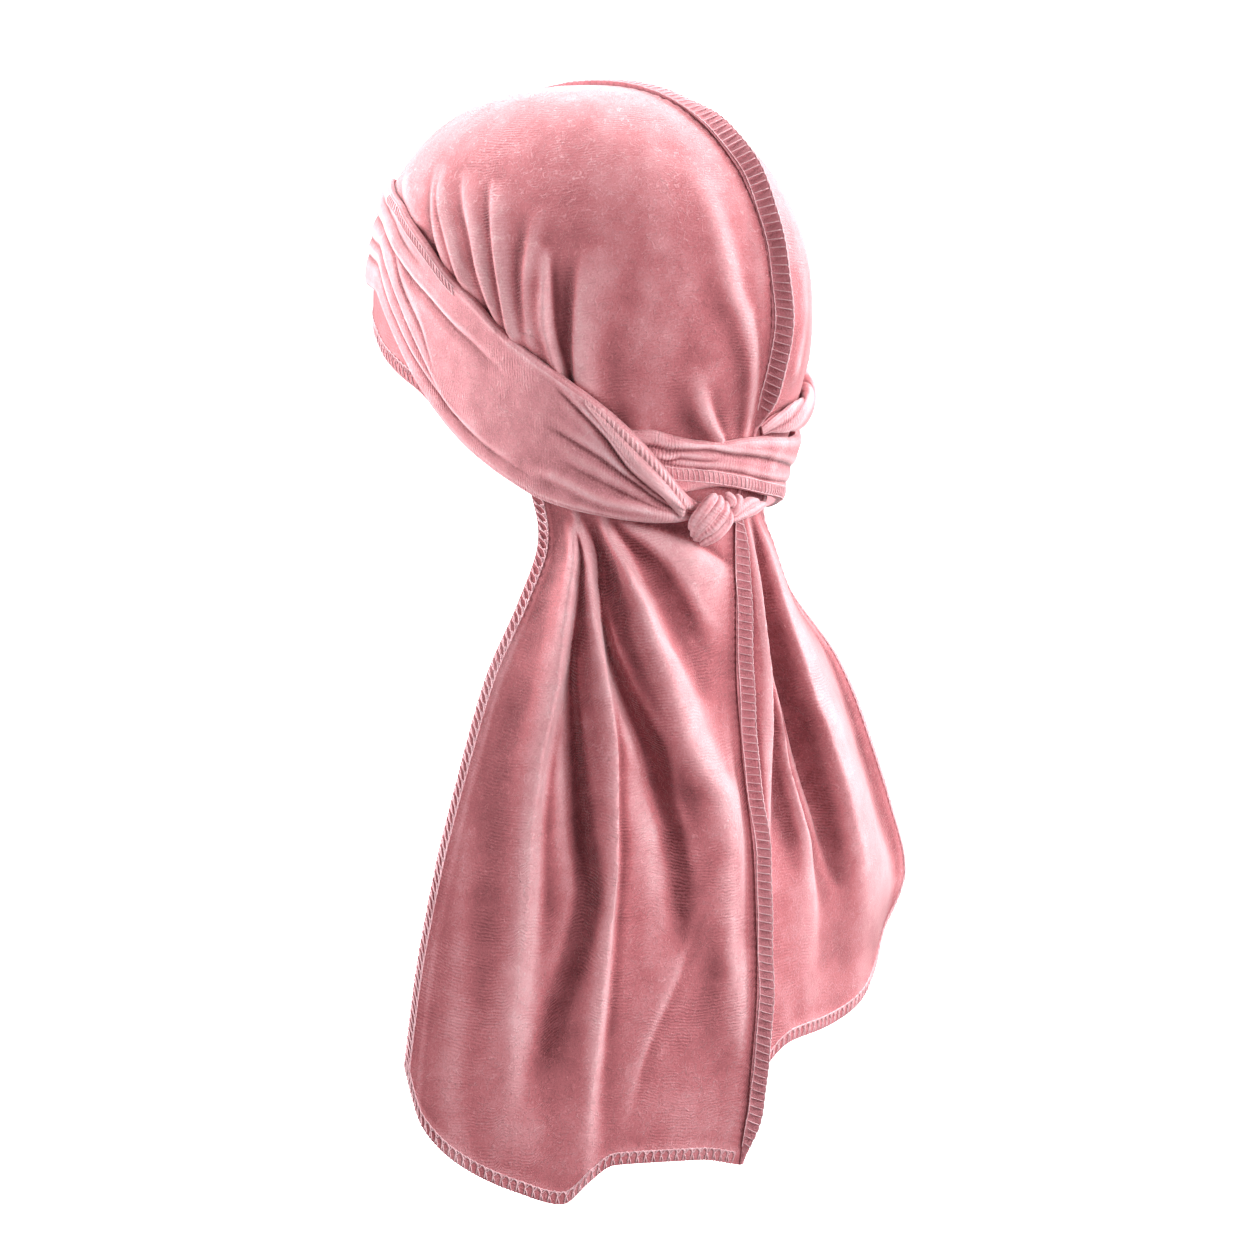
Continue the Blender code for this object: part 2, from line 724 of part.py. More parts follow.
def cape_plan(table, across, z):
    """Plan point and outward direction of the cape's smooth surface, x counted away from the seam."""
    level = z / MM
    seam_y, edge_x = table.at("seam_y", level), table.at("edge_x", level)
    edge_y, bulge = table.at("edge_y", level), table.at("bulge", level)
    chord_x, chord_y = edge_x, edge_y - seam_y
    length = np.hypot(chord_x, chord_y)
    mid_x = edge_x / 2 - 2 * bulge * chord_y / length
    mid_y = (seam_y + edge_y) / 2 + 2 * bulge * chord_x / length
    rest = 1 - across
    x = 2 * across * rest * mid_x + across**2 * edge_x
    y = rest**2 * seam_y + 2 * across * rest * mid_y + across**2 * edge_y
    slope_x = 2 * rest * mid_x + 2 * across * (edge_x - mid_x)
    slope_y = 2 * rest * (mid_y - seam_y) + 2 * across * (edge_y - mid_y)
    slope = np.hypot(slope_x, slope_y)
    return x * MM, y * MM, -slope_y / slope, slope_x / slope


def pouch_height(pouch, across, z):
    """Height of the pouch: it rises under its upper edge and falls into a crease at its lower one."""
    level = z / MM
    below_top = np.maximum(pouch.at("upper", across) - level, 0)
    above_crease = level - pouch.at("lower", across)
    swollen = (1 - np.exp(-below_top / POUCH_RISE)) * smoothstep(above_crease / POUCH_CREASE)
    return pouch.at("height", across) * MM * swollen


def pleat_height(pleats, across, z, reach):
    """Height of the pleats, which start a little way from the seam. Reach is the width of the cape."""
    total = np.zeros(np.broadcast(across, z).shape)
    for pleat in pleats:
        level = np.broadcast_to(z / MM, total.shape)
        away = across - pleat.at("across", level)
        width = np.where(away > 0, pleat.at("edge_width", level), pleat.at("seam_width", level))
        total = total + pleat.at("height", level) * MM * np.exp(-((away / width) ** 2))
    return total * smoothstep((across * reach - PLEAT_START) / PLEAT_RISE)


class Side:
    """Measurements of one half of the durag."""

    def __init__(self, sign, rim, folds, press, cape, cape_azimuth, hem, pleats, pouch, columns, rows):
        self.sign = sign
        self.rim = rim
        self.folds = folds
        self.press = press
        self.cape = cape
        self.cape_azimuth = cape_azimuth
        self.hem = hem
        self.pleats = pleats
        self.pouch = pouch
        cells = [np.linspace(start, end, count, endpoint=False) for start, end, count in columns]
        self.azimuths = np.concatenate([*cells, [180.0]])[::-1]
        self.rows = rows

    def tie_edge(self, azimuth):
        """Height at which the cap goes under the ties."""
        if self.sign > 0:
            return np.maximum(TIE_LEFT.at("top", azimuth), BACK_EDGE.at("top", azimuth)) * MM
        return TIE_RIGHT.at("top", np.clip(360 - azimuth, 177, 359)) * MM

    def crown(self, part, azimuth, depth):
        """Cap cloth from its top (0) to the ties (1) and the rim (2), at a depth under its outer face."""
        edge = sweep_at(self.tie_edge(azimuth))
        rim = sweep_at(self.rim.at("z", azimuth) * MM)
        z = height_at(edge * np.minimum(part, 1) + (rim - edge) * np.maximum(part - 1, 0))
        away = smoothstep((180 - azimuth) / FOLD_SEAM_MARGIN) * smoothstep(azimuth / FOLD_SEAM_MARGIN)
        below = self.tie_edge(azimuth) + self.press - z
        folds = crown_folds(self.folds, azimuth, z, below) * away * smoothstep(part / FOLD_TOP_MARGIN)
        return on_form(azimuth, z, CLOTH - depth + folds)

    def relief(self, across, z, reach):
        """Height of the cape's pleats and pouch together."""
        pleats = pleat_height(self.pleats, across, z, reach)
        if self.pouch is None:
            return pleats
        return pleats + pouch_height(self.pouch, across, z)

    def cape_at(self, across, down, depth):
        """Cape cloth, from the seam (0) to the edge (1) and from the cap (0) to the hem (1)."""
        azimuth = 180 - (180 - self.cape_azimuth) * across
        start = self.rim.at("z", azimuth) * MM
        z = start + (self.hem.at("z", across) * MM - start) * down
        x, y, out_x, out_y = cape_plan(self.cape, across, z)
        level = z / MM
        depth_y = self.cape.at("edge_y", level) - self.cape.at("seam_y", level)
        reach = np.hypot(self.cape.at("edge_x", level), depth_y) * MM
        ahead = self.relief(across + PLEAT_STEP, z, reach)
        behind = self.relief(across - PLEAT_STEP, z, reach)
        slope = (ahead - behind) / (2 * PLEAT_STEP * reach)
        steepness = np.minimum(np.hypot(1, slope), STEEPEST)
        out = self.relief(across, z, reach) - depth * steepness
        hanging = np.stack([x + out * out_x, y + out * out_y, z], axis=-1)
        fitted = on_form(azimuth, z, CLOTH + out)
        share = smoothstep((start - z) / CAPE_BLEND)[..., None]
        return fitted + (hanging - fitted) * share


def panel(name, side, material):
    """One half of the durag: cap and cape in one cloth, with two faces and a wall round the edge."""
    columns = len(side.azimuths)
    across = (180 - side.azimuths) / (180 - side.cape_azimuth)
    cape_columns = int(np.sum(across <= 1.0001))
    above, under, hanging = side.rows
    part = np.concatenate([np.linspace(0, 1, above + 1)[1:], np.linspace(1, 2, under + 1)[1:]])
    part = part[:, None]
    down = np.linspace(0, 1, hanging + 1)[1:, None]
    layers = []
    for depth in (0.0, CLOTH):
        top = on_form(0.0, 0.0, CLOTH - depth)[None, :]
        crown = side.crown(part, side.azimuths[None, :], depth).reshape(-1, 3)
        cape = side.cape_at(np.clip(across[None, :cape_columns], 0, 1), down, depth).reshape(-1, 3)
        points = np.concatenate([top, crown, cape])
        points[:, 0] *= side.sign
        points[:, 0] = side.sign * np.maximum(points[:, 0] * side.sign, SEAM_SLIT)
        layers.append(points)
    faces = [(0, 1 + j, 2 + j) for j in range(columns - 1)]
    for i in range(above + under - 1):
        start = 1 + i * columns
        faces += [
            (start + j, start + columns + j, start + columns + j + 1, start + j + 1)
            for j in range(columns - 1)
        ]
    last = 1 + (above + under - 1) * columns
    first = last + columns
    faces += [(last + j, first + j, first + j + 1, last + j + 1) for j in range(cape_columns - 1)]
    for i in range(hanging - 1):
        start = first + i * cape_columns
        faces += [
            (start + j, start + cape_columns + j, start + cape_columns + j + 1, start + j + 1)
            for j in range(cape_columns - 1)
        ]
    return thick_solid(name, layers[0], layers[1], faces, material)


def thick_solid(name, outer, inner, faces, material):
    """Closed body from an open sheet: the sheet, its inside turned round, and a wall along its border."""
    count = len(outer)
    edges = {(face[k], face[(k + 1) % len(face)]) for face in faces for k in range(len(face))}
    border = sorted(edge for edge in edges if (edge[1], edge[0]) not in edges)
    inside = [tuple(count + corner for corner in reversed(face)) for face in faces]
    wall = [(b, a, a + count, b + count) for a, b in border]
    return mesh_object(name, np.concatenate([outer, inner]), list(faces) + inside + wall, material)


def ring_solid(name, rings, material):
    """Closed body through rings of points, capped with a fan at each end."""
    steps, around, _ = rings.shape
    centres = [rings[0].mean(axis=0), rings[-1].mean(axis=0)]
    points = np.concatenate([rings.reshape(-1, 3), centres])
    faces = []
    for i in range(steps - 1):
        for j in range(around):
            after = (j + 1) % around
            near, far = i * around, (i + 1) * around
            faces.append((near + j, near + after, far + after, far + j))
    start, end = steps * around, steps * around + 1
    last = (steps - 1) * around
    for j in range(around):
        after = (j + 1) % around
        faces.append((start, after, j))
        faces.append((end, last + j, last + after))
    return mesh_object(name, points, faces, material)


def mesh_object(name, points, faces, material):
    """Object of these faces, all turned outwards."""
    volume = 0.0
    for face in faces:
        for k in range(1, len(face) - 1):
            volume += np.dot(points[face[0]], np.cross(points[face[k]], points[face[k + 1]]))
    if volume < 0:
        faces = [tuple(reversed(face)) for face in faces]
    mesh = bpy.data.meshes.new(name)
    mesh.from_pydata(points.tolist(), [], faces)
    mesh.materials.append(material)
    mesh.update()
    built = bpy.data.objects.new(name, mesh)
    bpy.context.scene.collection.objects.link(built)
    return built


def seam_line(left):
    """Points along the seam, and the run of each from the top of the head."""
    rim = sweep_at(left.rim.at("z", 0.0) * MM)
    nape = sweep_at(left.rim.at("z", 180.0) * MM)
    front = on_form(0.0, height_at(np.linspace(rim, 0, SEAM_SAMPLES)), CLOTH)
    back = on_form(180.0, height_at(np.linspace(0, nape, SEAM_SAMPLES)[1:]), CLOTH)
    cape = left.cape_at(np.zeros(SEAM_SAMPLES), np.linspace(0, 1, SEAM_SAMPLES + 1)[1:], 0.0)
    points = np.concatenate([front, back, cape])
    points[:, 0] = 0
    steps = np.linalg.norm(np.diff(points, axis=0), axis=1)
    run = np.concatenate([[0], np.cumsum(steps)])
    return points, run - run[SEAM_SAMPLES - 1]


def centre_seam(name, left, material):
    """Seam allowance that stands up between the two halves, thinner towards its edge."""
    points, run = seam_line(left)
    ends = np.linspace(run[0] + SEAM_END, run[-1] - SEAM_END, SEAM_STEPS)
    line = np.stack([np.interp(ends, run, points[:, k]) for k in range(3)], axis=1)
    along = np.gradient(line, axis=0)
    out = np.stack([np.zeros(len(line)), -along[:, 2], along[:, 1]], axis=1)
    out /= np.linalg.norm(out, axis=1)[:, None]
    height = SEAM.at("height", ends / MM) * MM
    lean = np.radians(SEAM.at("lean", ends / MM))
    half = SEAM_THICKNESS / 2
    edge = SEAM_EDGE_TAPER * half
    near = ((half, 0.0), (half, SEAM_SHOULDER), (edge, 1.0))
    far = tuple((-sideways, share) for sideways, share in reversed(near))
    rings = []
    for sideways, share in near + far:
        up = share * (height - SEAM_CLEARANCE)
        rise = SEAM_CLEARANCE + up * np.cos(lean) + max(sideways, 0) * np.sin(lean * share)
        ring = line + out * rise[:, None]
        ring[:, 0] = sideways * np.cos(lean * share) - up * np.sin(lean)
        rings.append(ring)
    return ring_solid(name, np.stack(rings, axis=1), material)


def band_lift(tie, creases, azimuth, across):
    """Lift of a band's outer face: rolls between the creases, rounded off at both edges."""
    upper, lower = creases.at("upper", azimuth), creases.at("lower", azimuth)
    start = np.where(across < upper, 0.0, np.where(across < lower, upper, lower))
    end = np.where(across < upper, upper, np.where(across < lower, lower, 1.0))
    place = np.clip(2 * (across - start) / (end - start) - 1, -1, 1)
    roll = CREASE_DEPTH + (1 - CREASE_DEPTH) * np.sqrt(1 - place**2)
    return (tie.at("inner", azimuth) + tie.at("thick", azimuth) * roll) * MM


def band(name, tie, creases, stops, material):
    """A tie lying on the head form as a strip of rolls."""
    rings = []
    for azimuth in np.concatenate([np.linspace(*stop) for stop in stops]):
        marks = [0.0, float(creases.at("upper", azimuth)), float(creases.at("lower", azimuth)), 1.0]
        outside = [0.0]
        for k in range(3):
            turn = np.linspace(0, math.pi, ROLL_POINTS + 1)[1:]
            outside += list(marks[k] + (marks[k + 1] - marks[k]) * (1 - np.cos(turn)) / 2)
        outside = np.array(outside)
        inside = np.linspace(1, 0, BAND_INSIDE_POINTS)
        top, bottom = tie.at("top", azimuth) * MM, tie.at("bottom", azimuth) * MM
        lift = band_lift(tie, creases, azimuth, outside)
        out_points = on_form(azimuth, top + (bottom - top) * outside, lift)
        in_points = on_form(azimuth, top + (bottom - top) * inside, tie.at("inner", azimuth) * MM)
        rings.append(np.concatenate([out_points, in_points]))
    return ring_solid(name, np.array(rings), material)


def turnover(name, material):
    """Lens-shaped lip lying on the left tie."""
    rings = []
    for azimuth in np.linspace(TURNOVER.key[0], TURNOVER.key[-1], TURNOVER_STEPS):
        share = np.linspace(0, 1, TURNOVER_POINTS)
        upper, lower = TURNOVER.at("upper", azimuth) * MM, TURNOVER.at("lower", azimuth) * MM
        z = upper + (lower - upper) * share
        top = TIE_LEFT.at("top", azimuth) * MM
        bottom = TIE_LEFT.at("bottom", azimuth) * MM
        across = np.clip((z - top) / (bottom - top), 0, 1)
        lift = band_lift(TIE_LEFT, CREASES_LEFT, azimuth, across) + TURNOVER_GAP
        lens = TURNOVER_MARGIN + (1 - TURNOVER_MARGIN) * np.sqrt(1 - (2 * share - 1) ** 2)
        thick = TURNOVER.at("thick", azimuth) * MM * lens
        over = on_form(azimuth, z, lift + thick)
        under = on_form(azimuth, z[::-1], lift[::-1])
        rings.append(np.concatenate([over, under]))
    return ring_solid(name, np.array(rings), material)


def frames_along(line):
    """Two directions across a line at each of its points, turning as little as possible."""
    along = np.gradient(line, axis=0)
    along /= np.linalg.norm(along, axis=1)[:, None]
    first = np.cross(along[0], (0.0, 0.0, 1.0))
    firsts = []
    for direction in along:
        first = first - direction * np.dot(first, direction)
        first = first / np.linalg.norm(first)
        firsts.append(first)
    firsts = np.array(firsts)
    return firsts, np.cross(along, firsts)


def twist(name, material):
    """Rope of twisted cloth: a round section that turns as it goes, with a groove between strands."""
    azimuth = np.linspace(TWIST.key[0], TWIST.key[-1], TWIST_STEPS)
    line = on_form(azimuth, TWIST.at("z", azimuth) * MM, TWIST.at("lift", azimuth) * MM)
    above = on_form(azimuth, TWIST.at("z", azimuth) * MM, TWIST.at("lift", azimuth) * MM + MM)
    out = (above - line) / MM
    along = np.gradient(line, axis=0)
    along /= np.linalg.norm(along, axis=1)[:, None]
    side = np.cross(along, out)
    run = np.concatenate([[0], np.cumsum(np.linalg.norm(np.diff(line, axis=0), axis=1))])
    turned = 2 * math.pi * TWIST_TURNS * run / run[-1]
    rings = []
    for k in range(TWIST_POINTS):
        angle = 2 * math.pi * k / TWIST_POINTS
        groove = 1 - TWIST_GROOVE * (0.5 - 0.5 * np.cos(TWIST_STRANDS * (angle + turned)))
        thick = TWIST.at("half_thick", azimuth) * MM * groove * math.cos(angle)
        wide = TWIST.at("half_width", azimuth) * MM * groove * math.sin(angle)
        rings.append(line + out * thick[:, None] + side * wide[:, None])
    return ring_solid(name, np.stack(rings, axis=1), material)


def strand(name, rows, material):
    table = Table(STRAND_COLUMNS, rows)
    order = np.linspace(0, table.key[-1], STRAND_STEPS)
    lift = table.at("lift", order) * MM
    line = on_form(table.at("azimuth", order), table.at("z", order) * MM, lift)
    first, second = frames_along(line)
    radius = table.at("radius", order)[:, None] * MM
    rings = [
        line + radius * (first * math.cos(angle) + second * math.sin(angle))
        for angle in np.linspace(0, 2 * math.pi, STRAND_POINTS, endpoint=False)
    ]
    return ring_solid(name, np.stack(rings, axis=1), material)


def knot(name, material):
    """Strands of the knot, joined into one body."""
    strands = [strand(f"{name}_strand_{k}", rows, material) for k, rows in enumerate(KNOT_STRANDS)]
    base = strands[0]
    for other in strands[1:]:
        join = base.modifiers.new(other.name, "BOOLEAN")
        join.operation = "UNION"
        join.solver = "EXACT"
        join.object = other
    bpy.context.view_layer.update()
    graph = bpy.context.evaluated_depsgraph_get()
    mesh = bpy.data.meshes.new_from_object(base.evaluated_get(graph))
    joined = bpy.data.objects.new(name, mesh)
    bpy.context.scene.collection.objects.link(joined)
    for piece in strands:
        bpy.data.objects.remove(piece, do_unlink=True)
    return joined


def velvet(name, color, roughness):
    material = bpy.data.materials.new(name)
    material.use_nodes = True
    shader = material.node_tree.nodes["Principled BSDF"]
    shader.inputs["Base Color"].default_value = (*color, 1.0)
    shader.inputs["Roughness"].default_value = roughness
    shader.inputs["Metallic"].default_value = 0.0
    return material


def left_side():
    return Side(
        1,
        RIM_LEFT,
        CROWN_FOLDS_LEFT,
        0.0,
        CAPE_LEFT,
        CAPE_LEFT_AZIMUTH,
        HEM_LEFT,
        PLEATS_LEFT,
        POUCH,
        COLUMNS_LEFT,
        ROWS_LEFT,
    )


def right_side():
    return Side(
        -1,
        RIM_RIGHT,
        CROWN_FOLDS_RIGHT,
        TWIST_FOOTPRINT,
        CAPE_RIGHT,
        CAPE_RIGHT_AZIMUTH,
        HEM_RIGHT,
        PLEATS_RIGHT,
        None,
        COLUMNS_RIGHT,
        ROWS_RIGHT,
    )


def main():
    for old in list(bpy.data.objects):
        bpy.data.objects.remove(old, do_unlink=True)
    left, right = left_side(), right_side()
    panel("panel_left", left, velvet("velvet_left", (0.56, 0.20, 0.235), 0.85))
    panel("panel_right", right, velvet("velvet_right", (0.54, 0.19, 0.225), 0.85))
    centre_seam("centre_seam", left, velvet("seam_allowance", (0.50, 0.165, 0.20), 0.8))
    tie_left = velvet("velvet_tie_left", (0.60, 0.23, 0.265), 0.85)
    band("tie_left", TIE_LEFT, CREASES_LEFT, STOPS_LEFT, tie_left)
    tie_right = velvet("velvet_tie_right", (0.58, 0.21, 0.25), 0.85)
    band("tie_right", TIE_RIGHT, CREASES_RIGHT, STOPS_RIGHT, tie_right)
    turnover("tie_left_turnover", velvet("velvet_reverse", (0.64, 0.28, 0.31), 0.7))
    twist("tie_right_twist", velvet("velvet_twist", (0.57, 0.20, 0.24), 0.85))
    knot("knot", velvet("velvet_knot", (0.62, 0.25, 0.28), 0.8))


if __name__ == "__main__":
    main()
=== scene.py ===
"""Velvet durag in its worn form: two cloth halves, the seam allowance between them, the ties, the knot and the threads.

Metres, +Z up. The wearer faces -Y and +X is the wearer's left. The origin is the highest point of the
inside of the cap. Azimuths are degrees round the vertical axis from the forehead, 90 over the left ear,
180 at the nape and 270 over the right ear. Lengths in the tables are millimetres.
"""

import logging
import math
from dataclasses import dataclass, field
from enum import Enum
from typing import Callable

import bpy
import numpy as np
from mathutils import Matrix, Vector


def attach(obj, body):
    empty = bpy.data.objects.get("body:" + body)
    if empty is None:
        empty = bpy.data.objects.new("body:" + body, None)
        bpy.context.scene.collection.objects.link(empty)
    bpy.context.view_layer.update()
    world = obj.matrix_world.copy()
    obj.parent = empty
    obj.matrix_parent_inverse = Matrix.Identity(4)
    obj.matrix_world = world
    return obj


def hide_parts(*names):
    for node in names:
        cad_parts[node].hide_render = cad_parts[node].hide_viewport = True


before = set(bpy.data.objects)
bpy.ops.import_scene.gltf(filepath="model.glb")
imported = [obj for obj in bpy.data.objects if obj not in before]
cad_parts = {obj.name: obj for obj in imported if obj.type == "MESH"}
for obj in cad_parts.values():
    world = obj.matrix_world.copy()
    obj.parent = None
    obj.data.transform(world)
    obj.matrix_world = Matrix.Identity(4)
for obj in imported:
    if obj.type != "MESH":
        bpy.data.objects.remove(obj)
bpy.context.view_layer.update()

Array = np.ndarray
Place = Callable[[Array, Array, Array], Array]
Colour = tuple[float, float, float]

LOG = logging.getLogger("durag")
MM = 0.001
BODY = "root"

CLOTH = 0.002
SEAM_SLIT = 0.00018
# Direction of the painted light on the cloth: the sides of folds that face it are painted lighter, the others darker.
PAINTED_LIGHT_DIRECTION = (-0.62, 0.70, 0.35)
CAPE_BLEND = 0.03
STITCH = 0.0032
HEM_STITCH = 0.0034


def smoothstep(part: Array) -> Array:
    """Soft step from 0 to 1: 3 part squared less 2 part cubed."""
    part = np.clip(part, 0.0, 1.0)
    return part * part * (3 - 2 * part)


def unit(vectors: Array) -> Array:
    """Vectors over their own lengths."""
    return vectors / np.maximum(np.linalg.norm(vectors, axis=-1, keepdims=True), 1e-12)


def hump(away: Array, before: Array, after: Array) -> Array:
    """Bell exp(-(away / width) squared), with one width on each side of its crest."""
    return np.exp(-((away / np.where(away > 0, after, before)) ** 2))


def crease(away: Array, before: Array, after: Array) -> Array:
    """Sharp-bottomed trough exp(-|away| / width), with one width on each side."""
    return np.exp(-np.abs(away) / np.where(away > 0, after, before))


def spread(stops: tuple[tuple[float, float, int], ...]) -> Array:
    """Evenly spaced values over each stop (start, end, count), joined end to end."""
    parts = [np.linspace(start, end, count, endpoint=False) for start, end, count in stops]
    return np.concatenate(parts + [np.array([stops[-1][1]])])


def swell(points: Array, pitch: float, seed: int) -> Array:
    """Soft random swells: random heights on a square lattice laid over slanted plan coordinates, joined smoothly."""
    heights = np.random.default_rng(seed).uniform(-1, 1, (64, 64))
    u = (points[..., 0] + 0.37 * points[..., 2]) / pitch
    v = (points[..., 1] + 0.29 * points[..., 2]) / pitch
    i, j = np.floor(u).astype(int), np.floor(v).astype(int)
    across, down = smoothstep(u - i), smoothstep(v - j)
    low = heights[i % 64, j % 64] * (1 - across) + heights[(i + 1) % 64, j % 64] * across
    high = heights[i % 64, (j + 1) % 64] * (1 - across) + heights[(i + 1) % 64, (j + 1) % 64] * across
    return low * (1 - down) + high * down


class Table:
    """Rows of numbers under named columns, read between the rows by a smooth curve that doesn't overshoot."""

    def __init__(self, columns: tuple[str, ...], rows: tuple[tuple[float, ...], ...]) -> None:
        """Keeps the rows by column; the first column is the key."""
        self.columns = {name: np.array(values, float) for name, values in zip(columns, zip(*rows))}
        self.key = self.columns[columns[0]]

    def at(self, name: str, place: Array) -> Array:
        """Value of a column at a place along the key.

        Args:
            name: the column.
            place: places along the key, held at its two ends.

        Returns:
            The cubic Hermite curve through the rows, with harmonic mean slopes.
        """
        values = self.columns[name]
        step = np.diff(self.key)
        grade = np.diff(values) / step
        slope = np.concatenate([grade[:1], np.zeros(len(values) - 2), grade[-1:]])
        together = grade[:-1] * grade[1:] > 0
        total = np.where(together, grade[:-1] + grade[1:], 1.0)
        slope[1:-1] = np.where(together, 2 * grade[:-1] * grade[1:] / total, 0.0)
        place = np.clip(np.asarray(place, float), self.key[0], self.key[-1])
        left = np.clip(np.searchsorted(self.key, place, side="right") - 1, 0, len(step) - 1)
        width = step[left]
        part = (place - self.key[left]) / width
        return (
            values[left] * (1 + 2 * part) * (1 - part) ** 2
            + values[left + 1] * part**2 * (3 - 2 * part)
            + width * part * (1 - part) * (slope[left] * (1 - part) - slope[left + 1] * part)
        )


@dataclass(frozen=True)
class HeadForm:
    """Form that the cap is stretched over: a dome on a rounded plan, hollowed towards the nape and the sides."""

    half_width: float = 0.0735
    front_depth: float = 0.093
    back_depth: float = 0.0937
    dome_height: float = 0.0865
    plan_power: float = 2.1
    front_power: float = 2.5
    back_power: float = 2.08
    nape_level: float = -0.205
    nape_hollow: float = 0.27
    side_hollow: float = 0.16

    def radius(self, azimuth: Array, z: Array) -> Array:
        """Distance from the vertical axis: superellipse plan, times a superellipse dome, less the hollow."""
        angle = np.radians(azimuth)
        back = 0.5 * (1 - np.cos(angle))
        depth = np.where(np.cos(angle) < 0, self.back_depth, self.front_depth)
        across = np.abs(np.sin(angle) / self.half_width) ** self.plan_power
        along = np.abs(np.cos(angle) / depth) ** self.plan_power
        plan = (across + along) ** (-1 / self.plan_power)
        power = self.front_power + (self.back_power - self.front_power) * back
        rise = np.clip(z / self.dome_height + 1, 0, 1)
        dome = (1 - rise**power) ** (1 / power)
        hollow = self.nape_hollow * back**2 + self.side_hollow * np.sin(angle) ** 2
        fall = smoothstep((-self.dome_height - z) / (-self.dome_height - self.nape_level))
        return plan * dome * (1 - hollow * fall)

    def point(self, azimuth: Array, z: Array, lift: Array) -> Array:
        """Points at a height z on the form, lifted off it along its normal.

        Args:
            azimuth: degrees from the forehead.
            z: heights in metres.
            lift: distances off the form in metres.

        Returns:
            Points, with a last axis of three.
        """
        azimuth, z, lift = np.broadcast_arrays(np.asarray(azimuth, float), np.asarray(z, float), lift)
        radius = self.radius(azimuth, z)
        turn, drop = 0.05, 1e-5
        low = np.minimum(z, -2 * drop)
        by_angle = (self.radius(azimuth + turn, z) - self.radius(azimuth - turn, z)) / (2 * math.radians(turn))
        by_height = (self.radius(azimuth, low + drop) - self.radius(azimuth, low - drop)) / (2 * drop)
        sine, cosine = np.sin(np.radians(azimuth)), np.cos(np.radians(azimuth))
        sideways = np.where(radius > 1e-6, by_angle / np.maximum(radius, 1e-6), 0.0)
        flat = 1 / np.sqrt(1 + sideways**2 + by_height**2)
        top = radius < 1e-6
        out = np.where(top, 0, flat)
        side = np.where(top, 0, -sideways * flat)
        up = np.where(top, 1, -by_height * flat)
        away = radius + lift * out
        return np.stack(
            [away * sine + lift * side * cosine, -away * cosine + lift * side * sine, z + lift * up], axis=-1
        )

    def height_at(self, sweep: Array) -> Array:
        """Height for an angle swept down from the top, going straight down past the widest level."""
        dome = self.dome_height * (np.cos(np.minimum(sweep, math.pi / 2)) - 1)
        return dome - self.dome_height * np.maximum(sweep - math.pi / 2, 0)

    def sweep_at(self, z: Array) -> Array:
        """Angle swept down from the top to a height: the inverse of height_at."""
        rise = np.clip(z / self.dome_height + 1, -1, 1)
        below = math.pi / 2 - z / self.dome_height - 1
        return np.where(z > -self.dome_height, np.arccos(np.clip(rise, 0, 1)), below)


FORM = HeadForm()


